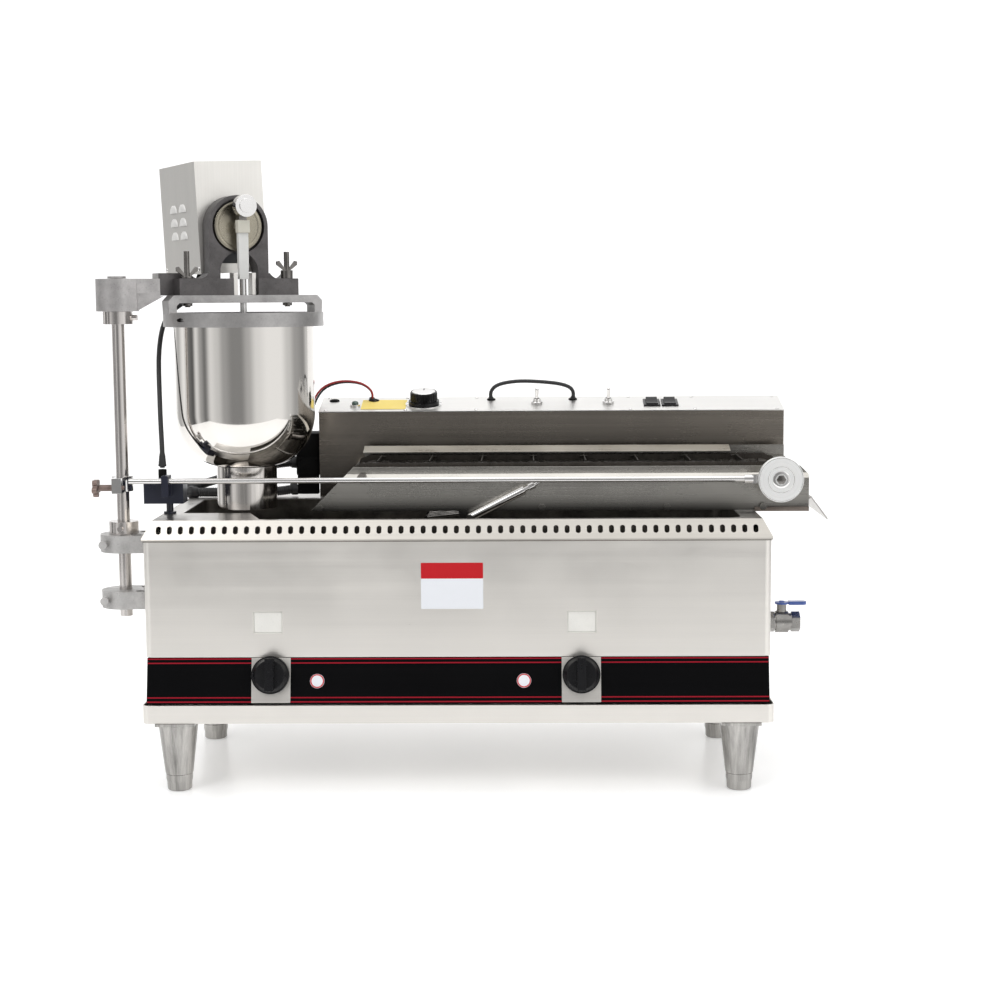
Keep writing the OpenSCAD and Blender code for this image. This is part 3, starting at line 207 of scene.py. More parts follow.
def rounded_points(w, d, r, steps=6):
    """Outline of a rectangle with round corners."""
    points = []
    for sx, sy, a0 in ((1, 1, 0), (-1, 1, 90), (-1, -1, 180), (1, -1, 270)):
        for i in range(steps + 1):
            a = math.radians(a0 + 90 * i / steps)
            points.append((sx * (w / 2 - r) + r * math.cos(a), sy * (d / 2 - r) + r * math.sin(a)))
    return points


def add_screw(bm, place, radius, height):
    """Adds a pan-head screw with a round recess."""
    profile = [(0, 0), (1, 0), (1, 0.35), (0.86, 0.72), (0.45, 1), (0.4, 0.55), (0, 0.55)]
    add_turned(bm, [(radius * r, height * h) for r, h in profile], place, 20)


def weighted(piece):
    """Lets the broad faces set the shading, so that flat sheet stays flat up to its rounded edges."""
    bpy.context.view_layer.objects.active = piece
    modifier = piece.modifiers.new("flat faces", "WEIGHTED_NORMAL")
    modifier.keep_sharp = True
    modifier.weight = 90
    bpy.ops.object.modifier_apply(modifier=modifier.name)
    return piece


def softened(node, width, material, smooth=math.radians(35), segments=2):
    """A copy of a CAD node's mesh with its edges rounded as a press or a file leaves them."""
    bm = bmesh.new()
    bm.from_mesh(frame["nodes"][node].data)
    bmesh.ops.remove_doubles(bm, verts=bm.verts, dist=1e-6)
    bmesh.ops.dissolve_limit(bm, angle_limit=math.radians(0.6), verts=bm.verts, edges=bm.edges)
    sharp = [e for e in bm.edges if len(e.link_faces) == 2 and e.calc_face_angle(0) > math.radians(35)]
    bmesh.ops.bevel(
        bm, geom=sharp, offset=width / 1000, segments=segments, affect="EDGES", profile=0.5,
        clamp_overlap=True
    )
    return weighted(keep_mesh(node + "_finished", bm, material, smooth))


# Shader node groups


def put(tree, kind, feeds=None, **settings):
    """Adds a node, sets its properties, and feeds its inputs with values or other sockets."""
    node = tree.nodes.new(kind if kind.startswith("NodeGroup") else "ShaderNode" + kind)
    for key, value in settings.items():
        setattr(node, key, value)
    for key, value in (feeds or {}).items():
        if isinstance(value, bpy.types.NodeSocket):
            tree.links.new(value, node.inputs[key])
        else:
            node.inputs[key].default_value = value
    return node


def maths(tree, operation, *values, clamp=False):
    """Adds a Math node and gives back its result."""
    node = put(tree, "Math", dict(enumerate(values)), operation=operation, use_clamp=clamp)
    return node.outputs[0]


def vector_maths(tree, operation, *values):
    """Adds a Vector Math node and gives back its vector."""
    node = put(tree, "VectorMath", dict(enumerate(values)), operation=operation)
    return node.outputs["Value" if operation in ("LENGTH", "DOT_PRODUCT") else "Vector"]


def object_place(tree):
    """The point of the object that is being shaded, in metres."""
    return put(tree, "TexCoord").outputs["Object"]


def noise(tree, place, scale, detail, roughness=0.5):
    """Adds a noise texture and gives back its level."""
    feeds = {"Vector": place, "Scale": scale, "Detail": detail, "Roughness": roughness}
    return put(tree, "TexNoise", feeds).outputs["Fac"]


def swing(tree, value, middle, amount, base=1.0):
    """A base moved by an amount of a value's distance from its middle."""
    return maths(tree, "MULTIPLY_ADD", maths(tree, "SUBTRACT", value, middle), amount, base)


def remap(tree, value, low, high, to_low, to_high=1.0, **settings):
    """A value carried from one range to another."""
    feeds = {"Value": value, "From Min": low, "From Max": high, "To Min": to_low, "To Max": to_high}
    return put(tree, "MapRange", feeds, **settings).outputs["Result"]


def give(group, result, **values):
    """Connects a group's outputs and gives back the group."""
    for title, value in values.items():
        group.links.new(value, result[title])
    return group


def start_group(name, sockets_in, sockets_out):
    """Makes a node group from (name, type, default) inputs and (name, type) outputs."""
    group = bpy.data.node_groups.new(name, "ShaderNodeTree")
    for title, kind, default in sockets_in:
        socket = group.interface.new_socket(title, in_out="INPUT", socket_type="NodeSocket" + kind)
        if default is not None:
            socket.default_value = default
    for title, kind in sockets_out:
        group.interface.new_socket(title, in_out="OUTPUT", socket_type="NodeSocket" + kind)
    return group, put(group, "NodeGroupInput").outputs, put(group, "NodeGroupOutput").inputs


def make_grain():
    """Brushed sheet: fine scratches along one axis with soft cloudy bands behind them."""
    group, given, result = start_group(
        "Brushed grain",
        [("Stretch", "Vector", (4, 900, 900)), ("Contrast", "Float", 0.3), ("Clouds", "Float", 0.2)],
        [("Shade", "Float"), ("Height", "Float")],
    )
    place = object_place(group)
    along = vector_maths(group, "MULTIPLY", place, given["Stretch"])
    fine = noise(group, along, 1.0, 4.0, 0.65)
    broad = noise(group, vector_maths(group, "MULTIPLY", along, (0.3, 0.09, 0.09)), 1.0, 3.0)
    lines = maths(group, "ADD", maths(group, "MULTIPLY", fine, 0.55), maths(group, "MULTIPLY", broad, 0.45))
    shade = swing(group, lines, 0.5, given["Contrast"])
    mottle = swing(group, noise(group, place, 5.0, 2.0), 0.5, given["Clouds"], shade)
    return give(group, result, Shade=mottle, Height=lines)


def make_turning():
    """Marks of a lathe: fine rings about an axis through a centre."""
    group, given, result = start_group(
        "Lathe rings",
        [
            ("Centre", "Vector", (0, 0, 0)), ("Across", "Vector", (1, 1, 0)), ("Rings", "Float", 900),
            ("Contrast", "Float", 0.3)
        ],
        [("Shade", "Float"), ("Height", "Float"), ("Radius", "Float")],
    )
    offset = vector_maths(group, "SUBTRACT", object_place(group), given["Centre"])
    radius = vector_maths(group, "LENGTH", vector_maths(group, "MULTIPLY", offset, given["Across"]))
    feeds = {
        "W": maths(group, "MULTIPLY", radius, given["Rings"]), "Scale": 1.0, "Detail": 3.0, "Roughness": 0.7
    }
    rings = put(group, "TexNoise", feeds, noise_dimensions="1D").outputs["Fac"]
    shade = swing(group, rings, 0.5, given["Contrast"])
    return give(group, result, Shade=shade, Height=rings, Radius=radius)


def make_casting():
    """Skin of a sand or die casting: pebbled grain with a few pits and darker hollows."""
    group, given, result = start_group(
        "Casting skin",
        [("Grain", "Float", 420), ("Contrast", "Float", 0.3)],
        [("Shade", "Float"), ("Height", "Float")],
    )
    place = object_place(group)
    grit = noise(group, place, given["Grain"], 4.0, 0.6)
    lumps = noise(group, place, maths(group, "MULTIPLY", given["Grain"], 0.12), 2.0)
    pits = put(group, "TexVoronoi", {"Vector": place, "Scale": maths(group, "MULTIPLY", given["Grain"], 0.5)})
    pit = maths(group, "MULTIPLY", maths(group, "LESS_THAN", pits.outputs["Distance"], 0.16), 0.5)
    skin = maths(group, "MULTIPLY_ADD", lumps, 0.8, maths(group, "MULTIPLY", grit, 0.6))
    height = maths(group, "SUBTRACT", skin, pit)
    return give(group, result, Shade=swing(group, height, 0.7, given["Contrast"]), Height=height)


def make_smudges():
    """Finger marks and wiping haze, for roughness."""
    sockets = [("Low", "Float", 0.25), ("High", "Float", 0.4), ("Size", "Float", 9)]
    group, given, result = start_group("Wiping haze", sockets, [("Roughness", "Float")])
    haze = noise(group, object_place(group), given["Size"], 5.0, 0.62)
    return give(group, result, Roughness=remap(group, haze, 0.3, 0.7, given["Low"], given["High"]))


def make_grime():
    """Dark film of oil in soft spots."""
    sockets = [("Amount", "Float", 0.3), ("Size", "Float", 26)]
    group, given, result = start_group("Oil film", sockets, [("Shade", "Float")])
    mask = remap(group, noise(group, object_place(group), given["Size"], 6.0, 0.7), 0.42, 0.66, 0.0)
    film = maths(group, "MULTIPLY", mask, given["Amount"])
    return give(group, result, Shade=maths(group, "SUBTRACT", 1.0, film))


def make_painted_fade():
    """Painted shade that falls off below a height: sheet is darkened towards its bottom in place of the dark
    tank that it mirrors.
    """
    sockets = [("Low", "Float", 0.38), ("High", "Float", 0.4), ("Dark", "Float", 0.3)]
    group, given, result = start_group("Painted shade below a height", sockets, [("Shade", "Float")])
    height = put(group, "SeparateXYZ", {0: object_place(group)}).outputs["Z"]
    shade = remap(group, height, given["Low"], given["High"], given["Dark"], interpolation_type="SMOOTHSTEP")
    return give(group, result, Shade=shade)


GROUPS = {}
FINISHES = {}
MAKERS = {
    "grain": make_grain, "turning": make_turning, "casting": make_casting,
    "haze": make_smudges, "film": make_grime, "fade": make_painted_fade,
}


def use(tree, name, feeds=None):
    """Places a shared node group in a material's tree."""
    if name not in GROUPS:
        GROUPS[name] = MAKERS[name]()
    return put(tree, "Group", feeds, node_tree=GROUPS[name]).outputs


def start_finish(name, **settings):
    """Starts a material with a Principled shader and plain settings on its sockets."""
    material = bpy.data.materials.new(name)
    material.use_nodes = True
    tree = material.node_tree
    shader = tree.nodes["Principled BSDF"]
    for key, value in settings.items():
        shader.inputs[key.replace("_", " ")].default_value = value
    return material, tree, shader.inputs


def tinted(tree, colour, *shades):
    """A colour multiplied by one or more shade values."""
    shade = shades[0]
    for other in shades[1:]:
        shade = maths(tree, "MULTIPLY", shade, other)
    mix = put(tree, "VectorMath", {0: colour[:3]}, operation="SCALE")
    tree.links.new(shade, mix.inputs["Scale"])
    return mix.outputs["Vector"]


def bumped(tree, height, strength, distance):
    """A normal from a height, in metres of depth."""
    return put(tree, "Bump", {"Height": height, "Strength": strength, "Distance": distance}).outputs["Normal"]


def filmed(tree, shade, film):
    """A shade, with that of an oil film beside it where there is one."""
    return [shade, use(tree, "film", {"Amount": film})["Shade"]] if film else [shade]


def wire(tree, sockets, tint, rough, height=None, bump=0.0, depth=0.0001):
    """Connects a finish's colour, roughness and relief to its shader."""
    tree.links.new(tint, sockets["Base Color"])
    tree.links.new(rough, sockets["Roughness"])
    if height is not None:
        tree.links.new(bumped(tree, height, bump, depth), sockets["Normal"])


def brushed_steel(
    name, colour, stretch, low=0.26, high=0.4, contrast=0.3, clouds=0.12,
    film=0.0, metal=1.0, bump=0.25, gloss=0.5, fade=None,
):
    """Sheet steel with a brushed grain along its long axis, and painted shade that darkens it below a height
    where one is given.
    """
    material, tree, sockets = start_finish(name, Metallic=metal, Specular_IOR_Level=gloss)
    grain = use(tree, "grain", {"Stretch": stretch, "Contrast": contrast, "Clouds": clouds})
    shades = filmed(tree, grain["Shade"], film)
    if fade:
        shades.append(use(tree, "fade", dict(zip(("Low", "High", "Dark"), fade)))["Shade"])
    haze = use(tree, "haze", {"Low": low, "High": high})["Roughness"]
    rough = maths(tree, "MULTIPLY_ADD", maths(tree, "SUBTRACT", grain["Height"], 0.5), 0.25, haze, clamp=True)
    wire(tree, sockets, tinted(tree, colour, *shades), rough, grain["Height"], bump)
    return material


def turned_metal(
    name, colour, centre, across, rings=900, low=0.16, high=0.3, contrast=0.25, bump=0.25, film=0.0,
):
    """Metal with the rings of a lathe."""
    material, tree, sockets = start_finish(name, Metallic=1.0)
    marks = use(tree, "turning", {"Centre": centre, "Across": across, "Rings": rings, "Contrast": contrast})
    shades = filmed(tree, marks["Shade"], film)
    rough = use(tree, "haze", {"Low": low, "High": high, "Size": 16})["Roughness"]
    wire(tree, sockets, tinted(tree, colour, *shades), rough, marks["Height"], bump)
    return material


def cast_metal(name, colour, grain=420, rough=0.48, contrast=0.35, metal=0.85, bump=0.5, film=0.2):
    """Cast metal with its pebbled skin and a little grime."""
    material, tree, sockets = start_finish(name, Metallic=metal)
    skin = use(tree, "casting", {"Grain": grain, "Contrast": contrast})
    grime = use(tree, "film", {"Amount": film, "Size": 34})["Shade"]
    dulled = maths(tree, "MULTIPLY_ADD", maths(tree, "SUBTRACT", 1.0, grime), 0.5, rough, clamp=True)
    wire(tree, sockets, tinted(tree, colour, skin["Shade"], grime), dulled, skin["Height"], bump, 0.0004)
    return material


def moulded(name, colour, rough=0.3, grain=900, bump=0.15, coat=0.0, mottle=0.1, gloss=0.5):
    """Moulded plastic or rubber with a faint texture."""
    material, tree, sockets = start_finish(name, Coat_Weight=coat, Specular_IOR_Level=gloss)
    skin = use(tree, "casting", {"Grain": grain, "Contrast": mottle})
    haze = use(tree, "haze", {"Low": rough - 0.06, "High": rough + 0.08, "Size": 30})["Roughness"]
    wire(tree, sockets, tinted(tree, colour, skin["Shade"]), haze, skin["Height"], bump)
    return material


def polished(name, colour, low=0.06, high=0.14, film=0.0):
    """Chrome plate or polished steel with wiping haze."""
    material, tree, sockets = start_finish(name, Metallic=1.0)
    grain = use(tree, "grain", {"Stretch": (120, 120, 120), "Contrast": 0.06, "Clouds": 0.05})
    shades = filmed(tree, grain["Shade"], film)
    haze = use(tree, "haze", {"Low": low, "High": high, "Size": 40})["Roughness"]
    wire(tree, sockets, tinted(tree, colour, *shades), haze)
    return material


def finish(name):
    """One of the machine's finishes, made on first use."""
    if name not in FINISHES:
        kind, *values = RECIPES[name]
        extra = values.pop() if isinstance(values[-1], dict) else {}
        FINISHES[name] = kind(name, *values, **extra)
    return FINISHES[name]


# Each finish: the function that makes it and what that function takes after the name
RECIPES = {
    "front_steel": (brushed_steel, (0.76, 0.735, 0.695), (3, 900, 900), 0.3, 0.42, 0.16, 0.08),
    "side_steel": (brushed_steel, (0.74, 0.72, 0.685), (900, 3, 900), 0.3, 0.42, 0.16, 0.08),
    "deck_steel": (brushed_steel, (0.62, 0.6, 0.575), (3, 700, 700), 0.26, 0.38, 0.3, 0.15, 0.15),
    # The tank's near-black colour is partly oil residue and partly painted shade of the tank's deep inside.
    "tank_steel": (brushed_steel, (0.2, 0.185, 0.165), (3, 700, 700), 0.32, 0.46, 0.3, 0.3, 0.5),
    # Control box: painted shade darkens its sheet towards the bottom, down to 0.55 of its colour.
    "box_steel": (
        brushed_steel, (0.3, 0.27, 0.235), (2.5, 700, 700), 0.2, 0.32, 0.7, 0.3, {"fade": (0.4, 0.51, 0.55)}
    ),
    "rim_steel": (brushed_steel, (0.66, 0.63, 0.58), (3, 900, 900), 0.3, 0.42, 0.3, 0.1),
    "panel_steel": (brushed_steel, (0.8, 0.79, 0.77), (3, 800, 800), 0.3, 0.42, 0.2, 0.1),
    # Conveyor plates: painted shade darkens them towards their bottom edge, down to 0.2 of their colour.
    "plate_steel": (
        brushed_steel, (0.42, 0.405, 0.375), (2.5, 800, 800), 0.2, 0.32, 0.8, 0.3,
        {"fade": (0.384, 0.41, 0.2)}
    ),
    # A lighter copy of the plates' steel for their up-facing faces: painted light.
    "strip_steel": (brushed_steel, (0.72, 0.69, 0.62), (2.5, 800, 800), 0.26, 0.38, 0.3, 0.1),
    "dark_sheet": (brushed_steel, (0.05, 0.046, 0.04), (2.5, 700, 700), 0.34, 0.46, 0.6, 0.3, 0.3),
    "cover_steel": (brushed_steel, (0.64, 0.625, 0.595), (600, 600, 4), 0.3, 0.42, 0.25, 0.12),
    # The hoods' steel is the cover's sheet made far brighter: painted light on the pressed hoods.
    "hood_steel": (brushed_steel, (0.9, 0.89, 0.87), (500, 500, 500), 0.45, 0.55, 0.1, 0.05),
    "guide_steel": (brushed_steel, (0.66, 0.64, 0.61), (600, 600, 4), 0.2, 0.34, 0.25, 0.1),
    "bowl_steel": (
        turned_metal, (0.76, 0.735, 0.7), at(*HOPPER_AXIS, 0), (1, 1, 0), 10, 0.045, 0.085, 0.05, 0.0
    ),
    "outlet_steel": (brushed_steel, (0.66, 0.63, 0.6), (240, 240, 3), 0.08, 0.18, 1.1, 0.2, {"bump": 0.05}),
    "post_chrome": (brushed_steel, (0.6, 0.57, 0.55), (200, 200, 3), 0.1, 0.2, 0.6, 0.2, {"bump": 0.05}),
    "rod_chrome": (polished, (0.68, 0.67, 0.66), 0.1, 0.22),
    "valve_steel": (cast_metal, (0.34, 0.33, 0.315), 600, 0.26, 0.3, 1.0, 0.3, 0.2),
    "bar_brown": (brushed_steel, (0.2, 0.17, 0.15), (4, 700, 700), 0.35, 0.5, 0.8, 0.3, 0.3),
    "liner_black": (moulded, (0.004, 0.004, 0.004), 0.6, 500, 0.1, 0.0, 0.1, 0.1),
    "fitting_chrome": (polished, (0.8, 0.79, 0.78), 0.05, 0.12),
    # Dark chrome is the real finish of the wing nuts, the wheel bolt and the rod's neck, and painted shade on
    # the flipper's far part.
    "dark_chrome": (polished, (0.2, 0.19, 0.18), 0.16, 0.3, 0.3),
    "arch_casting": (cast_metal, (0.12, 0.113, 0.113), 420, 0.42, 0.4, 0.7),
    "arm_casting": (cast_metal, (0.46, 0.445, 0.44), 420, 0.42, 0.4, 0.8),
    "clamp_casting": (cast_metal, (0.56, 0.55, 0.54), 380, 0.46, 0.4, 0.8),
    "ring_casting": (cast_metal, (0.42, 0.41, 0.405), 500, 0.36, 0.3, 0.85),
    "leg_casting": (brushed_steel, (0.36, 0.35, 0.335), (150, 150, 4), 0.12, 0.22, 3.0, 0.3, {"bump": 0.1}),
    "disc_steel": (
        turned_metal, (0.3, 0.275, 0.22), at(*HOPPER_AXIS, DISC_HEIGHT), (1, 1, 1), 1100, 0.22, 0.36, 0.5
    ),
    "wheel_face": (turned_metal, (0.93, 0.93, 0.92), at(*WHEEL_CENTRE), (1, 0, 1), 900, 0.4, 0.5, 0.3),
    "sprocket_steel": (
        turned_metal, (0.3, 0.28, 0.26), at(*WHEEL_CENTRE), (1, 0, 1), 900, 0.3, 0.45, 0.3, 0.2, 0.3
    ),
    "chain_steel": (cast_metal, (0.085, 0.076, 0.066), 900, 0.34, 0.5, 0.9, 0.3, 0.4),
    "iron": (cast_metal, (0.1, 0.098, 0.095), 380, 0.6, 0.4, 0.4),
    "motor_paint": (moulded, (0.06, 0.065, 0.07), 0.4, 500, 0.3),
    "strip_black": (
        brushed_steel, (0.0022, 0.0022, 0.0026), (4, 900, 900), 0.45, 0.55, 1.2, 0.5, 0.0, 0.0, 0.2, 0.05
    ),
    "strip_red": (moulded, (0.3, 0.008, 0.02), 0.5, 900, 0.05, 0.0, 0.1, 0.1),
    "knob_black": (moulded, (0.006, 0.006, 0.007), 0.26, 1200, 0.12, 0.0, 0.1, 0.3),
    "mark_white": (moulded, (0.8, 0.8, 0.78), 0.4),
    "label_white": (moulded, (0.8, 0.82, 0.86), 0.5, 900, 0.03, 0.0, 0.03, 0.3),
    "label_red": (moulded, (0.52, 0.012, 0.018), 0.5, 900, 0.03, 0.0, 0.04, 0.2),
    "label_yellow": (moulded, (0.84, 0.66, 0.17), 0.5, 900, 0.03, 0.0, 0.05, 0.3),
    "pane": (moulded, (0.8, 0.79, 0.75), 0.35, 500, 0.1, 0.1),
    "nylon_cream": (moulded, (0.62, 0.6, 0.52), 0.36, 600, 0.1),
    "nylon": (moulded, (0.72, 0.72, 0.7), 0.4, 600, 0.1),
    "rubber": (moulded, (0.02, 0.02, 0.021), 0.5, 1400, 0.2),
    "conduit": (moulded, (0.016, 0.016, 0.017), 0.34, 700, 0.15, 0.1),
    "cable_red": (moulded, (0.35, 0.02, 0.02), 0.4, 1400, 0.1),
    "switch_shell": (moulded, (0.008, 0.01, 0.024), 0.3, 900, 0.15, 0.15),
    "lever_blue": (moulded, (0.05, 0.1, 0.35), 0.3, 900, 0.1, 0.3),
    "brass": (polished, (0.62, 0.45, 0.2), 0.2, 0.32, 0.3),
    "screw_brown": (cast_metal, (0.24, 0.18, 0.16), 900, 0.45, 0.5, 0.7, 0.3, 0.4),
    "lamp_lens": (moulded, (0.045, 0.085, 0.07), 0.12, 300, 0.02, 0.6),
}

# What each CAD node is finished in, and the width in mm that its edges are rounded to (0 leaves it as it is)
NODE_LOOKS = {
    "base_tray": ("front_steel", 0.5), "control_strip": ("strip_black", 0.4),
    "front_panel": ("front_steel", 0.7), "side_panel_left": ("side_steel", 0.7),
    "side_panel_right": ("side_steel", 0.7), "rear_panel": ("front_steel", 0.7),
    "rim": ("rim_steel", 0.3), "deck_plate": ("deck_steel", 0.5), "oil_tank": ("tank_steel", 0.6),
    "drain_pipe": ("tank_steel", 0), "drain_valve": ("valve_steel", 0.5),
    "drain_lever": ("lever_blue", 0.6), "burners": ("iron", 0), "gas_train": ("brass", 0),
    "knob_bezels": ("front_steel", 0.4), "knob_left": ("knob_black", 0.8),
    "knob_right": ("knob_black", 0.8), "window_panes": ("pane", 0.2), "legs": ("leg_casting", 1.2),
    "feet": ("leg_casting", 0.8), "post_clamps": ("clamp_casting", 1.2), "post": ("post_chrome", 0.5),
    "rod_guide": ("fitting_chrome", 0.6), "stop_screw": ("screw_brown", 0.6),
    "arm": ("arm_casting", 1.4), "arch": ("arch_casting", 1.4), "motor_cover": ("cover_steel", 0.8),
    "gear_motor": ("motor_paint", 0), "guide_plates": ("guide_steel", 0.5),
    "crank_disc": ("disc_steel", 0.5), "connecting_rod": ("nylon", 0.8), "plunger": ("rod_chrome", 0),
    "hopper_ring": ("ring_casting", 1.0), "outlet_cylinder": ("outlet_steel", 0.4),
    "wing_nuts": ("dark_chrome", 0.5), "control_box": ("box_steel", 0.6),
    "control_panel": ("panel_steel", 0.5), "panel_fittings": ("fitting_chrome", 0.4),
    "speed_dial": ("knob_black", 0.5), "toggle_left": ("fitting_chrome", 0),
    "toggle_right": ("fitting_chrome", 0), "rocker_left": ("knob_black", 0.6),
    "rocker_right": ("knob_black", 0.6), "trigger_switch": ("switch_shell", 0.6),
    "plate_near": ("plate_steel", 0.4), "plate_far": ("plate_steel", 0.4),
    "plate_ties": ("plate_steel", 0.3), "chains": ("chain_steel", 0), "flights": ("dark_sheet", 0.2),
    "drive_shaft": ("sprocket_steel", 0), "idler_shaft": ("sprocket_steel", 0),
    "drive_wheel": ("wheel_face", 0.6), "timing_rod": ("rod_chrome", 0.4),
    "flipper": ("rod_chrome", 0.3), "chute": ("deck_steel", 0.4),
    "conveyor_motor": ("motor_paint", 0.8),
}


def back_to_cabinet(point):
    """A point of the shared frame in the cabinet's millimetres."""
    return point * 1000 + SHIFT


# A second finish on part of a node: the look, and the test of a face's centre and normal
ZONES = {
    # The conveyor plates' up-facing top faces take the lighter copy of their steel as painted light.
    "plate_far": ("strip_steel", lambda p, n: n.z > 0.35 and p.z > 425),
    "plate_near": ("strip_steel", lambda p, n: n.z > 0.8 and p.z > 425),
    "arch": ("arm_casting", lambda p, n: (head_frame().inverted() @ at(*p)).x < -104),
    "panel_fittings": ("knob_black", lambda p, n: 270 < p.x < 350),
    # The flipper's far part, beyond y 95 under the plate, takes dark chrome as painted shade.
    "flipper": ("dark_chrome", lambda p, n: p.y > 95),
}

# Bright and dark panels round the room: place from behind, round by the left and the front, and level
ROOM_BANDS = [
    (0.0, 0.5), (0.083, 0.95), (0.14, 0.5), (0.195, 1.0), (0.231, 0.22), (0.262, 0.12), (0.286, 0.85),
    (0.312, 0.4), (0.334, 0.2), (0.366, 0.85), (0.398, 0.7), (0.43, 0.42), (0.47, 0.28), (0.505, 0.28),
    (0.54, 0.5), (0.58, 0.85), (0.634, 1.0), (0.69, 1.0), (0.736, 0.7), (0.781, 0.42), (0.835, 0.32),
    (0.87, 0.7), (0.916, 0.3), (1.0, 0.3),
]


# Yaw, pitch and roll of the camera, in radians
CAMERA_ANGLES = (-0.0149, 0.1138, 0.0058)


class StageSizes(bpy.types.PropertyGroup):
    """Light and camera of the stage."""

    lens: FloatProperty(
        name="Lens", description="Focal length for a 36 mm sensor", default=64.26, subtype="DISTANCE_CAMERA"
    )
    distance: FloatProperty(
        name="Distance", description="From the camera to the cabinet's front panel", default=2.466,
        unit="LENGTH"
    )
    world_light: FloatProperty(
        name="Room light", description="Strength of the room's light", default=1.0, min=0
    )
    backdrop: FloatVectorProperty(
        name="Backdrop", description="Colour of the floor and backdrop", default=(0.93, 0.93, 0.93),
        subtype="COLOR"
    )


class FittingSizes(bpy.types.PropertyGroup):
    """Sizes of the strip's red lines and of the hopper's bowl."""

    line_reach: FloatProperty(
        name="Line reach", description="From the middle of the strip to the end of a red line",
        default=0.4365, unit="LENGTH"
    )
    bowl_width: FloatProperty(
        name="Bowl width", description="Across the outside of the hopper's bowl", default=0.203,
        unit="LENGTH"
    )
    line_width: FloatProperty(
        name="Line width", description="Height of a red line", default=0.0018, unit="LENGTH"
    )


class BuildStage(bpy.types.Operator):
    """Makes the floor, the backdrop, the light and the camera."""

    bl_idname = "fryer.stage"
    bl_label = "Stage"

    def execute(self, context):
        sizes = context.scene.fryer_stage
        scene = context.scene
        scene.view_settings.view_transform = "Standard"
        camera = bpy.data.objects.new("camera", bpy.data.cameras.new("camera"))
        scene.collection.objects.link(camera)
        camera.data.lens = sizes.lens
        camera.data.sensor_width = 36
        camera.data.clip_start = 0.05
        yaw, pitch, roll = CAMERA_ANGLES
        ahead = Vector((math.sin(yaw) * math.cos(pitch), math.cos(yaw) * math.cos(pitch), -math.sin(pitch)))
        right = Vector((math.cos(yaw), -math.sin(yaw), 0))
        down = ahead.cross(right)
        turned = math.cos(roll) * right + math.sin(roll) * down
        below = -math.sin(roll) * right + math.cos(roll) * down
        place = Matrix((turned, -below, -ahead)).transposed().to_4x4()
        place.translation = at(98.0, -sizes.distance * 1000, 695.6)
        camera.matrix_world = place
        scene.camera = camera

        bm = bmesh.new()
        bend = [math.pi / 2 * i / 16 for i in range(1, 17)]
        curve = [(1.6 + 1.2 * math.sin(a), 1.2 - 1.2 * math.cos(a)) for a in bend]
        steps = [(-1.6, 0.0), (1.6, 0.0)] + curve + [(2.8, 5.0)]
        rows = [[bm.verts.new((x, y, z)) for x in (-2.3, 2.3)] for y, z in steps]
        for low, high in zip(rows, rows[1:]):
            bm.faces.new((low[0], low[1], high[1], high[0]))
        material, tree, sockets = start_finish("studio_sweep", Roughness=0.28)
        sockets["Base Color"].default_value = (*sizes.backdrop, 1)
        sockets["Specular IOR Level"].default_value = 0.3
        rays = put(tree, "LightPath").outputs
        bounced = maths(tree, "MAXIMUM", rays["Is Glossy Ray"], rays["Is Transmission Ray"])
        seen = maths(tree, "MAXIMUM", rays["Is Camera Ray"], bounced)
        sockets["Emission Color"].default_value = (1, 1, 1, 1)
        tree.links.new(maths(tree, "MULTIPLY", seen, 0.22), sockets["Emission Strength"])
        floor = keep_mesh("studio_sweep", bm, material)

        self.light_room(scene, sizes.world_light)
        for name, where, aim, size, power in (
            ("key", (-1.9, -2.2, 2.5), (0, 0, 0.45), 1.6, 26),
            ("fill", (2.3, -2.0, 1.9), (0, 0, 0.4), 1.5, 10),
            ("top", (0.2, 0.3, 3.0), (0, 0, 0.4), 2.2, 22),
        ):
            lamp = bpy.data.objects.new(name, bpy.data.lights.new(name, "AREA"))
            scene.collection.objects.link(lamp)
            lamp.data.energy = power
            lamp.data.size = size
            lamp.location = where
            lamp.rotation_mode = "QUATERNION"
            lamp.rotation_quaternion = (Vector(aim) - Vector(where)).to_track_quat("-Z", "Y")
        return {"FINISHED"}

    def light_room(self, scene, strength):
        """A pale room with darker corners, which polished metal shows as streaks."""
        world = bpy.data.worlds.new("room")
        scene.world = world
        world.use_nodes = True
        tree = world.node_tree
        back = tree.nodes["Background"]
        ray = put(tree, "TexCoord").outputs["Generated"]
        parts = put(tree, "SeparateXYZ", {0: ray}).outputs
        back.inputs["Color"].default_value = (1, 1, 1, 1)
        bearing = maths(tree, "ARCTAN2", parts["X"], maths(tree, "MULTIPLY", parts["Y"], -1.0))
        around = maths(tree, "MULTIPLY_ADD", bearing, 0.5 / math.pi, 0.5)
        bands = put(tree, "ValToRGB", {"Fac": around})
        ramp = bands.color_ramp
        ramp.interpolation = "EASE"
        while len(ramp.elements) < len(ROOM_BANDS):
            ramp.elements.new(0.5)
        for element, (place, _) in zip(ramp.elements, ROOM_BANDS):
            element.position = place
        for element, (_, level) in zip(ramp.elements, ROOM_BANDS):
            element.color = (level, level, level, 1)
        lift = remap(tree, parts["Z"], 0.25, 0.7, 0.0, interpolation_type="SMOOTHSTEP")
        whole = remap(tree, lift, 0.0, 1.0, bands.outputs["Color"])
        rays = put(tree, "LightPath").outputs
        level = maths(tree, "MULTIPLY", whole, strength)
        shown = remap(tree, rays["Is Camera Ray"], 0.0, 1.0, level)
        tree.links.new(shown, back.inputs["Strength"])


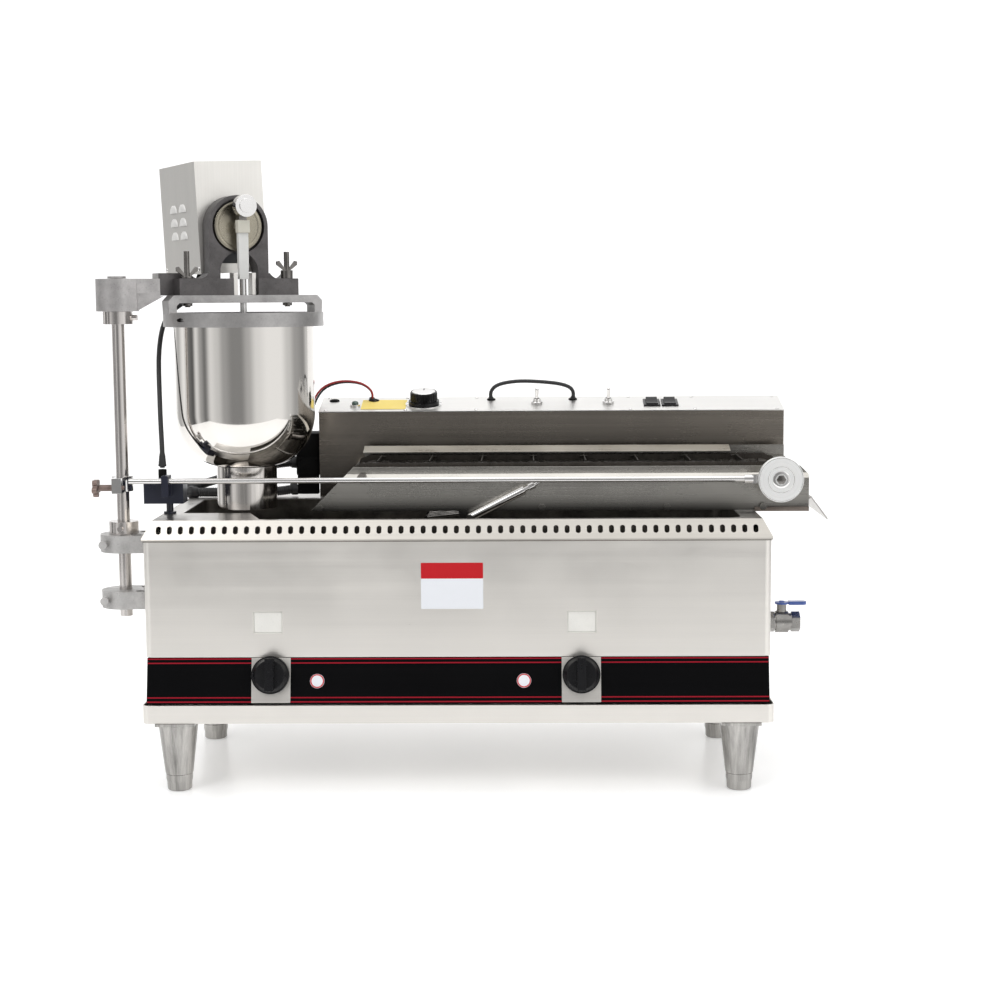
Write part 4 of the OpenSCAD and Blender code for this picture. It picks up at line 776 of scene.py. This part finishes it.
class FinishNodes(bpy.types.Operator):
    """Gives each node of the model its metal, plastic or rubber, and rounds its edges."""

    bl_idname = "fryer.nodes"
    bl_label = "Finishes"

    def execute(self, context):
        slots = {s["node"]: s["material_slot"] for s in frame["record"]["subparts"]}
        bodies = {n: b for b, members in frame["record"]["behaviour"]["bodies"].items() for n in members}
        for node, (look, width) in NODE_LOOKS.items():
            if width:
                piece = settle(softened(node, width, finish(look)), bodies[node], slots[node], node)
                if node == "connecting_rod":
                    self.rod(piece)
                elif node in ZONES:
                    self.zone(piece, *ZONES[node])
                continue
            mesh = frame["nodes"][node].data
            mesh.materials.clear()
            mesh.materials.append(finish(look))
        return {"FINISHED"}

    def zone(self, piece, look, test):
        """Gives the faces that a test picks by centre and normal a finish of their own."""
        piece.data.materials.append(finish(look))
        for face in piece.data.polygons:
            if test(back_to_cabinet(face.center), face.normal):
                face.material_index = 1

    def rod(self, piece):
        """Gives the connecting rod's knob, neck, block and bar their own finishes."""
        local = head_frame().inverted()
        for look in ("fitting_chrome", "dark_chrome", "nylon_cream"):
            piece.data.materials.append(finish(look))
        for face in piece.data.polygons:
            x, y, z = local @ face.center
            if y < -7.02 and z > 810:
                face.material_index = 1
            elif z > 807.5:
                face.material_index = 2
            elif z > 788.5:
                face.material_index = 3


# Cables


ROUTES = {
    "twin": [
        (-244, 345, 451.3), (-244, 345, 480), (-240, 346, 520), (-224, 348, 550), (-196, 349, 562),
        (-164, 350, 560), (-146, 352, 547), (-146, 357, 530)
    ],
    "loop": [
        (43, 361, 530), (43, 356, 546), (56, 354, 557), (88, 353, 562), (132, 353, 560), (160, 355, 555),
        (172, 357, 546), (172, 361, 530)
    ],
    "low": [
        (-427, 306, 393), (-400, 306, 393), (-360, 304, 393), (-320, 304, 393), (-290, 310, 394),
        (-262.4, 320, 397)
    ],
    "high": [
        (-430, 330, 398), (-400, 318, 408), (-360, 310, 420), (-320, 312, 430), (-290, 318, 436),
        (-262.4, 326, 438)
    ],
    "motor": [
        (-428, 96, 452), (-428, 97, 480), (-433, 115, 540), (-439, 150, 620), (-433, 186, 668),
        (-406, 226, 698), (-388.3, 246.9, 746)
    ],
}


def smooth_route(points, count):
    """A smooth line through the listed points, as the model lays it, in metres."""
    line = []
    for i in range(len(points) - 1):
        a, b, c, d = (Vector(points[min(max(k, 0), len(points) - 1)]) for k in (i - 1, i, i + 1, i + 2))
        for k in range(count):
            t = k / count
            square, cube = 2 * a - 5 * b + 4 * c - d, 3 * b - a - 3 * c + d
            line.append(0.5 * (2 * b + (c - a) * t + square * t * t + cube * t ** 3))
    return [at(*p) for p in line + [Vector(points[-1])]]


def route(key, count, step):
    """One of the routes as an evenly spaced line."""
    return spaced(smooth_route(ROUTES[key], count), step)


def line_length(line):
    """Length of a line of points."""
    return sum((b - a).length for a, b in zip(line, line[1:]))


def spaced(line, step):
    """The same line with its points an even step apart."""
    total, out, i, run = line_length(line), [line[0]], 0, 0.0
    count = max(8, round(total / step))
    for k in range(1, count):
        target = total * k / count
        while run + (line[i + 1] - line[i]).length < target:
            run += (line[i + 1] - line[i]).length
            i += 1
        out.append(line[i].lerp(line[i + 1], (target - run) / (line[i + 1] - line[i]).length))
    return out + [line[-1]]


def crosswise(line, side=Vector((0.2, 1, 0.15))):
    """For each point of a line its direction and two directions across it, carried along without twist."""
    frames = []
    for i in range(len(line)):
        ahead = (line[min(i + 1, len(line) - 1)] - line[max(i - 1, 0)]).normalized()
        side = (side - ahead * side.dot(ahead)).normalized()
        frames.append((ahead, side, ahead.cross(side)))
    return frames


def add_tube(bm, line, radii, sides=16):
    """Adds a closed tube along a line, with a radius in metres for each of its points."""
    rings = []
    for point, radius, (_, side, other) in zip(line, radii, crosswise(line)):
        turns = [2 * math.pi * k / sides for k in range(sides)]
        rings.append(
            [bm.verts.new(point + radius * (math.cos(a) * side + math.sin(a) * other)) for a in turns]
        )
    for low, high in zip(rings, rings[1:]):
        for k in range(sides):
            bm.faces.new((low[k], low[(k + 1) % sides], high[(k + 1) % sides], high[k]))
    bm.faces.new(rings[0])
    bm.faces.new(rings[-1])


def aimed(point, direction):
    """Matrix of a local frame in millimetres whose z axis runs along a direction."""
    turn = direction.to_track_quat("Z", "Y").to_matrix().to_4x4()
    return Matrix.Translation(point) @ turn @ MM


def fitted(name, bm, look, body="machine", slot="stainless_bright", smooth=40):
    """A finished fitting on its body."""
    return settle(keep_mesh(name, bm, finish(look), math.radians(smooth)), body, slot)


class LayCables(bpy.types.Operator):
    """Lays the motor cable, the twin leads, the black lead and the ribbed conduits, with their glands."""

    bl_idname = "fryer.cables"
    bl_label = "Cables"

    def execute(self, context):
        twin = route("twin", 4, 0.004)
        across = crosswise(twin)
        for name, look, phase in (("lead_red", "cable_red", 0.0), ("lead_black", "rubber", math.pi)):
            line = []
            for i, (point, (_, side, other)) in enumerate(zip(twin, across)):
                a = phase + math.radians(60) + 2.4 * i / len(twin)
                line.append(point + 0.0017 * (math.cos(a) * side + math.sin(a) * other))
            self.lay(name, line, 0.0031, look, "limp")
        self.lay("lead_loop", route("loop", 4, 0.004), 0.0058, "rubber", "stiff")
        for key, width in (("low", 0.0148), ("high", 0.0138)):
            self.lay("conduit_" + key, route(key, 6, 0.0011), width, "conduit", "stiff", ribs=0.0009)
        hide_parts("cables")
        motor = self.lay("motor_lead", route("motor", 5, 0.006), 0.007, "rubber", "medium", ride=False)
        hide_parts("motor_cable")
        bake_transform(motor)
        self.sleeves()
        return {"FINISHED"}

    def lay(self, name, line, across, look, stiffness, ribs=0.0, ride=True):
        """One lead along its line, at its real length and thickness."""
        bm = bmesh.new()
        radii = [across / 2 - (ribs if i % 3 == 0 and 0 < i < len(line) - 1 else 0) for i in range(len(line))]
        add_tube(bm, line, radii, 18)
        lead = keep_mesh(name, bm, finish(look), math.radians(60))
        if ride:
            settle(lead, "machine", "rubber_black")
        return lead

    def sleeves(self):
        """Tapered sleeves where leads enter a gland, and a clamp foot for each conduit."""
        bm = bmesh.new()
        for key, flip, r0, r1, reach in (
            ("loop", 0, 4.5, 3.3, 7), ("loop", 1, 4.5, 3.3, 7), ("twin", 1, 5.2, 3.9, 7),
            ("twin", 0, 5.4, 3.9, 17), ("motor", 0, 5.6, 3.9, 20)
        ):
            line = smooth_route(ROUTES[key], 4)
            line = line[::-1] if flip else line
            ahead = (line[3] - line[0]).normalized()
            steps = [(k / 9, 0.45 if k % 2 else 0) for k in range(10)]
            wall = [(r0 + (r1 - r0) * t + rib, 2 + (reach - 2) * t) for t, rib in steps]
            add_turned(bm, [(r0 - 2.2, 2), *wall, (r1 - 0.9, reach)], aimed(line[0], ahead), 28)
        fitted("lead_sleeves", bm, "rubber", slot="rubber_black")
        bm = bmesh.new()
        for key, r in (("low", 7.4), ("high", 6.9)):
            line = smooth_route(ROUTES[key], 6)
            ahead = (line[1] - line[0]).normalized()
            foot = [(-r, -5), (0.6, -5), (2.2, -3.4), (2.2, 3), (1.4, 4), (1.4, 9), (0.7, 11), (0.2, 11)]
            add_turned(bm, [(r + out, up) for out, up in foot], aimed(line[0], ahead), 32)
            add_prism(bm, ring_points(6, r + 3.6), aimed(line[0], ahead), -2.4, 2.6, 0.5)
            end = (line[-1] - line[-2]).normalized()
            add_turned(
                bm, [(r + 0.2, -10), (r + 1.6, -9), (r + 2.4, -3), (r + 2.4, 0), (r, 0)],
                aimed(line[-1], end), 32
            )
        fitted("conduit_glands", bm, "rubber", slot="rubber_black")
        self.glands()

    def glands(self):
        """Low grommets in the panel, the leads' gland sockets and the junction box."""
        bm = bmesh.new()
        for x, along, r in ((-205, 58, 6.1), (-142, 58, 6.1), (43, 62, 5.1), (172, 62, 5.1)):
            profile = [
                (-2, -2), (-0.1, -2), (-0.1, 1.6), (1.8, 1.7), (1.6, 2.6), (0.4, 3.3), (-1.6, 3.6),
                (-2, 3.2)
            ]
            add_turned(bm, [(r + out, up) for out, up in profile], panel_frame(x, along), 40, close=True)
        add_turned(bm, [(0, 1.8), (3.9, 1.8), (3.6, 3.9), (0, 4.4)], panel_frame(-205, 58), 32)
        for x, y, z in ((-428, 96, 437.6), (-244, 345, 451)):
            add_turned(
                bm, [(3.7, 0), (6, 0), (6, 11.2), (5.4, 12), (3.7, 12)], cabinet_frame(x, y, z), 40,
                close=True
            )
        add_block(bm, (37.7, 60, 65.6), cabinet_frame(-243.15, 342, 418.2), 2.4)
        piece = fitted("grommets", bm, "liner_black", slot="rubber_black")
        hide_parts("cable_glands")


# Fittings


class FitStrip(bpy.types.Operator):
    """Draws the strip's red lines and sets its blank discs and the knobs' marks."""

    bl_idname = "fryer.strip"
    bl_label = "Control strip"

    def execute(self, context):
        sizes = context.scene.fryer_fittings
        bm = bmesh.new()
        for z in (190.0, 184.3, 137.0, 131.2):
            size = (2 * sizes.line_reach * 1000, sizes.line_width * 1000, 0.12)
            add_block(bm, size, strip_frame(0, z) @ move(0, 0, 0.02), 0.03, 1)
        fitted("strip_lines", bm, "strip_red", slot="strip_black", smooth=0)
        for i, x in enumerate((-197, 93.6)):
            place = strip_frame(x, 159.5)
            bm = bmesh.new()
            add_turned(bm, [(0, 0), (10, 0), (10, 0.22), (9.8, 0.34), (0, 0.34)], place, 56)
            fitted(f"disc_{i}", bm, "label_white", slot="plastic_white")
            bm = bmesh.new()
            add_turned(bm, [(8.0, 0.3), (9.7, 0.3), (9.6, 0.46), (8.1, 0.46)], place, 56, close=True)
            fitted(f"disc_ring_{i}", bm, "label_red", slot="plastic_white")
        for name, x in (("knob_left", -262), ("knob_right", 174)):
            place = strip_frame(x, 167.68)
            bm = bmesh.new()
            add_block(bm, (1.8, 13, 0.5), place @ move(0, 13.5, 16.0), 0.2, 1)
            fitted(name + "_mark", bm, "mark_white", name + "_body", "knob_black")
        return {"FINISHED"}


class FitFront(bpy.types.Operator):
    """Sets the blank label, the cabinet's screws and a dark bar of painted shadow under the rim."""

    bl_idname = "fryer.front"
    bl_label = "Cabinet"

    def execute(self, context):
        for name, look, z, h, t in (
            ("label_lower", "label_white", 282, 43, 0.3), ("label_upper", "label_red", 314.6, 22.4, 0.32)
        ):
            bm = bmesh.new()
            add_prism(bm, rounded_points(87, h, 1.2), cabinet_frame(-6.5, 0, z, OUT_FRONT), 0.02, t, 0.08, 1)
            fitted(name, bm, look, slot="plastic_white")
        bm = bmesh.new()
        for side, x in ((-1, -440), (1, 440)):
            for y in (40, 210, 380):
                for z in (120, 345):
                    if side < 0 and y < 200 and z > 300:
                        continue
                    add_screw(bm, cabinet_frame(x, y, z, sideways(side)), 3.6, 2.0)
        for x in (-425, -212, 0, 212, 425):
            for z in (112, 345):
                add_screw(bm, cabinet_frame(x, 420, z, OUT_BACK), 3.6, 2.0)
        fitted("cabinet_screws", bm, "fitting_chrome", slot="chrome")
        # A thin dark bar under the rim's lip: painted shadow of the gap there.
        bm = bmesh.new()
        add_block(bm, (878, 0.5, 1.8), cabinet_frame(0, -0.2, 355.9), 0.1, 1)
        fitted("rim_painted_shadow", bm, "bar_brown", slot="rubber_black", smooth=0)
        return {"FINISHED"}


class FitControls(bpy.types.Operator):
    """Dresses the control box: blank plate, dial, screws, lamp lens and the junction lid."""

    bl_idname = "fryer.controls"
    bl_label = "Control box"

    def execute(self, context):
        bm = bmesh.new()
        add_prism(bm, rounded_points(70, 52, 1.5), panel_frame(-125, 36), 1.62, 2.05, 0.1, 1)
        fitted("blank_plate", bm, "label_yellow", slot="plastic_white")
        bm = bmesh.new()
        for i in range(11):
            a = math.radians(-45 + 27 * i)
            place = panel_frame(DIAL_X) @ Matrix.Rotation(a, 4, "Z") @ move(26.3, 0, 2.8)
            add_block(bm, (3.2, 0.7 if i % 5 else 1.3, 0.14), place, 0.03, 1)
        fitted("dial_scale", bm, "knob_black", slot="knob_black", smooth=0)
        bm = bmesh.new()
        cap = [(0, 22.0), (14.5, 22.0), (17.6, 22.0), (18.2, 22.3), (17.4, 22.9), (14, 22.6), (0, 22.5)]
        add_turned(bm, cap, panel_frame(DIAL_X), 64)
        fitted("dial_cap", bm, "fitting_chrome", "dial_body", "knob_black")
        bm = bmesh.new()
        for k in range(30):
            place = panel_frame(DIAL_X) @ Matrix.Rotation(2 * math.pi * k / 30, 4, "Z") @ move(20.5, 0, 8.5)
            add_block(bm, (1.5, 2.1, 12), place, 0.4, 1)
        fitted("dial_ribs", bm, "knob_black", "dial_body", "knob_black")
        bm = bmesh.new()
        for x in (115, 227):
            add_turned(
                bm, [(6.1, 4.7), (8.4, 4.7), (8.4, 5.4), (7.8, 5.8), (6.1, 5.8)], panel_frame(x), 36,
                close=True
            )
        for x in (-214, -90, 20, 260, 360, 487):
            for along in (5, 72.5):
                add_screw(bm, panel_frame(x, along, 1.6), 2.6, 1.5)
        fitted("panel_screws", bm, "fitting_chrome", slot="chrome")
        bm = bmesh.new()
        add_turned(
            bm, [(0, 4.6), (5.2, 4.6), (5.4, 6.4), (4.0, 8.4), (1.8, 9.3), (0, 9.5)],
            panel_frame(-170, 30.94), 40
        )
        fitted("lamp_lens", bm, "lamp_lens", slot="knob_black")
        bm = bmesh.new()
        place = cabinet_frame(-243, 312, 418, OUT_FRONT)
        add_prism(bm, rounded_points(34, 58, 3), place, 0.0, 1.4, 0.5)
        for sx, sy in ((-1, -1), (1, -1), (-1, 1), (1, 1)):
            add_screw(bm, place @ move(sx * 13, sy * 25, 1.4), 2.1, 1.2)
        fitted("junction_lid", bm, "liner_black", slot="rubber_black")
        bm = bmesh.new()
        for x in (-208, -40, 136, 312, 482):
            for z in (398, 505):
                add_screw(bm, cabinet_frame(x, 376, z, OUT_BACK), 3.2, 1.8)
        for x, turn in ((-224, -1), (497, 1)):
            for y in (312, 364):
                for z in (400, 500):
                    if turn < 0 and z < 450:
                        continue
                    add_screw(bm, cabinet_frame(x, y, z, sideways(turn)), 2.8, 1.6)
        fitted("box_screws", bm, "fitting_chrome", slot="chrome")
        return {"FINISHED"}


class FitHead(bpy.types.Operator):
    """Adds the cover's hoods and screws, a dark plate of painted shade behind the arch's opening, the disc's
    ring and the hopper's bowl.
    """

    bl_idname = "fryer.head"
    bl_label = "Dough head"

    def execute(self, context):
        cover = head_frame(0, 0, 732) @ Matrix.Rotation(-COVER_LEAN, 4, "Y")
        bm = bmesh.new()
        for side in (-1, 1):
            for i in range(2):
                for j in range(3):
                    place = cover @ move(3 + side * 51.5, 114.2 + i * 44, 96 - j * 20) @ sideways(side)
                    self.add_hood(bm, place, side)
        fitted("cover_hoods", bm, "hood_steel", "head", smooth=50)
        bm = bmesh.new()
        for x, y in ((-48.5, 52), (54.5, 52), (-48.5, 212), (54.5, 212)):
            side = -1 if x < 0 else 1
            place = cover @ move(x, y, 8) @ sideways(side)
            add_screw(bm, place, 3.2, 1.8)
        for s in (-1, 1):
            add_screw(bm, head_frame(s * 108, -14.2, 664) @ OUT_FRONT, 3.4, 2)
        fitted("cover_screws", bm, "fitting_chrome", "head", "chrome")
        # A dark plate just in front of the cover, behind the arch's opening: painted shade.
        bm = bmesh.new()
        add_block(bm, (57, 1.2, 46), head_frame(0, 43.2, 746), 0.3)
        fitted("arch_opening_shade", bm, "motor_paint", "head", "cast_dark")
        bm = bmesh.new()
        place = head_frame(0, 15, DISC_HEIGHT) @ OUT_FRONT
        add_turned(bm, [(29.5, 0), (30.3, 0.35), (34.6, 0.35), (35.4, 0)], place, 96, close=True)
        add_turned(bm, [(0, 0.0), (7.2, 0.0), (7.2, 1.6), (5.8, 2.4), (0, 2.4)], place, 40)
        fitted("disc_rim", bm, "disc_steel", "crank", "stainless_dark")
        self.bowl(context.scene.fryer_fittings.bowl_width * 500)
        bm = bmesh.new()
        rim = [(99.4 + x, 655.2 + y) for x, y in ring_points(10, 1.7)]
        add_turned(bm, rim, head_frame(), 120, close=True)
        fitted("hopper_lip", bm, "bowl_steel", "head", "chrome")
        return {"FINISHED"}

    def bowl(self, radius, wall=1.5, flat=36, low=450.0, turn_z=530.0, high=657.7):
        """The hopper's spun bowl: a straight wall that rounds in to the outlet, open above."""
        def side(out):
            arc = [math.radians(90 * k / 28) for k in range(29)]
            wide, deep = radius - out - flat, turn_z - low - out
            return [(flat + wide * math.sin(a), turn_z - deep * math.cos(a)) for a in arc]
        bm = bmesh.new()
        inner = radius - wall
        lip = [(radius, high - 3), (radius, high - 1), (radius - 0.4, high)]
        lip += [(inner + 0.4, high), (inner, high - 1), (inner, high - 3)]
        profile = [(OUTLET_R, low), *side(0), *lip, *side(wall)[::-1], (OUTLET_R, low + wall)]
        add_turned(bm, profile, head_frame(), 160, close=True)
        piece = keep_mesh("bowl", bm, finish("bowl_steel"), math.radians(50))
        settle(piece, "head", "chrome", "hopper_bowl")

    def add_hood(self, bm, place, side, w=32.0, h=12.0, deep=3.6):
        """One pressed louvre hood, closed above and open below."""
        columns, rows = 12, 6
        grid = []
        for r in range(rows + 1):
            v = r / rows
            line = []
            for c in range(columns + 1):
                u = 2 * c / columns - 1
                out = deep * math.sqrt(max(0.0, 1 - u * u)) * math.sin(math.pi / 2 * (1 - v) ** 0.6)
                point = Vector((side * h * (0.3 - v), w / 2 * u * math.sqrt(1 - 0.8 * v * v), out))
                line.append(bm.verts.new(place @ point))
            grid.append(line)
        for low, high in zip(grid, grid[1:]):
            for a, b, c, d in zip(low, low[1:], high[1:], high):
                bm.faces.new((a, b, c, d))


class FitConveyor(bpy.types.Operator):
    """Adds the drive wheel's bolt and rings, the far plate's screws and the end bar."""

    bl_idname = "fryer.conveyor"
    bl_label = "Conveyor"

    def execute(self, context):
        wheel = cabinet_frame(458, 46, 435.5, OUT_FRONT)
        bm = bmesh.new()
        for r in (31.2, 19.0):
            add_turned(bm, [(r - 1.1, 0), (r - 0.8, 0.5), (r - 0.2, 0.5), (r, 0)], wheel, 96, close=True)
        add_turned(bm, [(8.2, 0), (12, 0), (12, 0.9), (11.4, 1.2), (8.2, 1.2)], wheel, 64, close=True)
        fitted("wheel_rings", bm, "fitting_chrome", "drive_body", "machined")
        bm = bmesh.new()
        add_prism(bm, ring_points(6, 6.8), wheel, 0.0, 2.25, 0.4)
        fitted("wheel_bolt", bm, "dark_chrome", "drive_body", "machined")
        bm = bmesh.new()
        add_block(bm, (78, 3, 6.5), cabinet_frame(465, 88.2, 386.0), 0.5)
        fitted("end_bar", bm, "bar_brown", slot="stainless_dark")
        bm = bmesh.new()
        for x in (-150, -60, 80, 200, 380):
            place = cabinet_frame(x, 264, 392, OUT_BACK)
            add_screw(bm, place, 3.0, 1.6)
        fitted("plate_screws", bm, "fitting_chrome", slot="chrome")
        return {"FINISHED"}


class FryerPanel(bpy.types.Panel):
    """Lists the steps in the 3D view's sidebar."""

    bl_label = "Doughnut fryer"
    bl_idname = "VIEW3D_PT_fryer"
    bl_space_type = "VIEW_3D"
    bl_region_type = "UI"
    bl_category = "Fryer"

    def draw(self, context):
        for step in STEPS:
            self.layout.operator(step.bl_idname)
        for name, kind in SETTINGS.items():
            box = self.layout.box()
            for key in kind.__annotations__:
                box.prop(getattr(context.scene, name), key)


STEPS = [BuildStage, LayCables, FinishNodes, FitStrip, FitFront, FitControls, FitHead, FitConveyor]
SETTINGS = {"fryer_stage": StageSizes, "fryer_fittings": FittingSizes}


def register():
    """Registers the settings, the steps and the panel."""
    for kind in [*SETTINGS.values(), *STEPS, FryerPanel]:
        bpy.utils.register_class(kind)
    for name, kind in SETTINGS.items():
        setattr(bpy.types.Scene, name, PointerProperty(type=kind))


def unregister():
    """Takes them away again."""
    for name in SETTINGS:
        delattr(bpy.types.Scene, name)
    for kind in [FryerPanel, *reversed(STEPS), *SETTINGS.values()]:
        bpy.utils.unregister_class(kind)


def main():
    """Runs every step in order."""
    register()
    for step in STEPS:
        group, name = step.bl_idname.split(".")
        getattr(getattr(bpy.ops, group), name)()


if __name__ == "__main__":
    main()
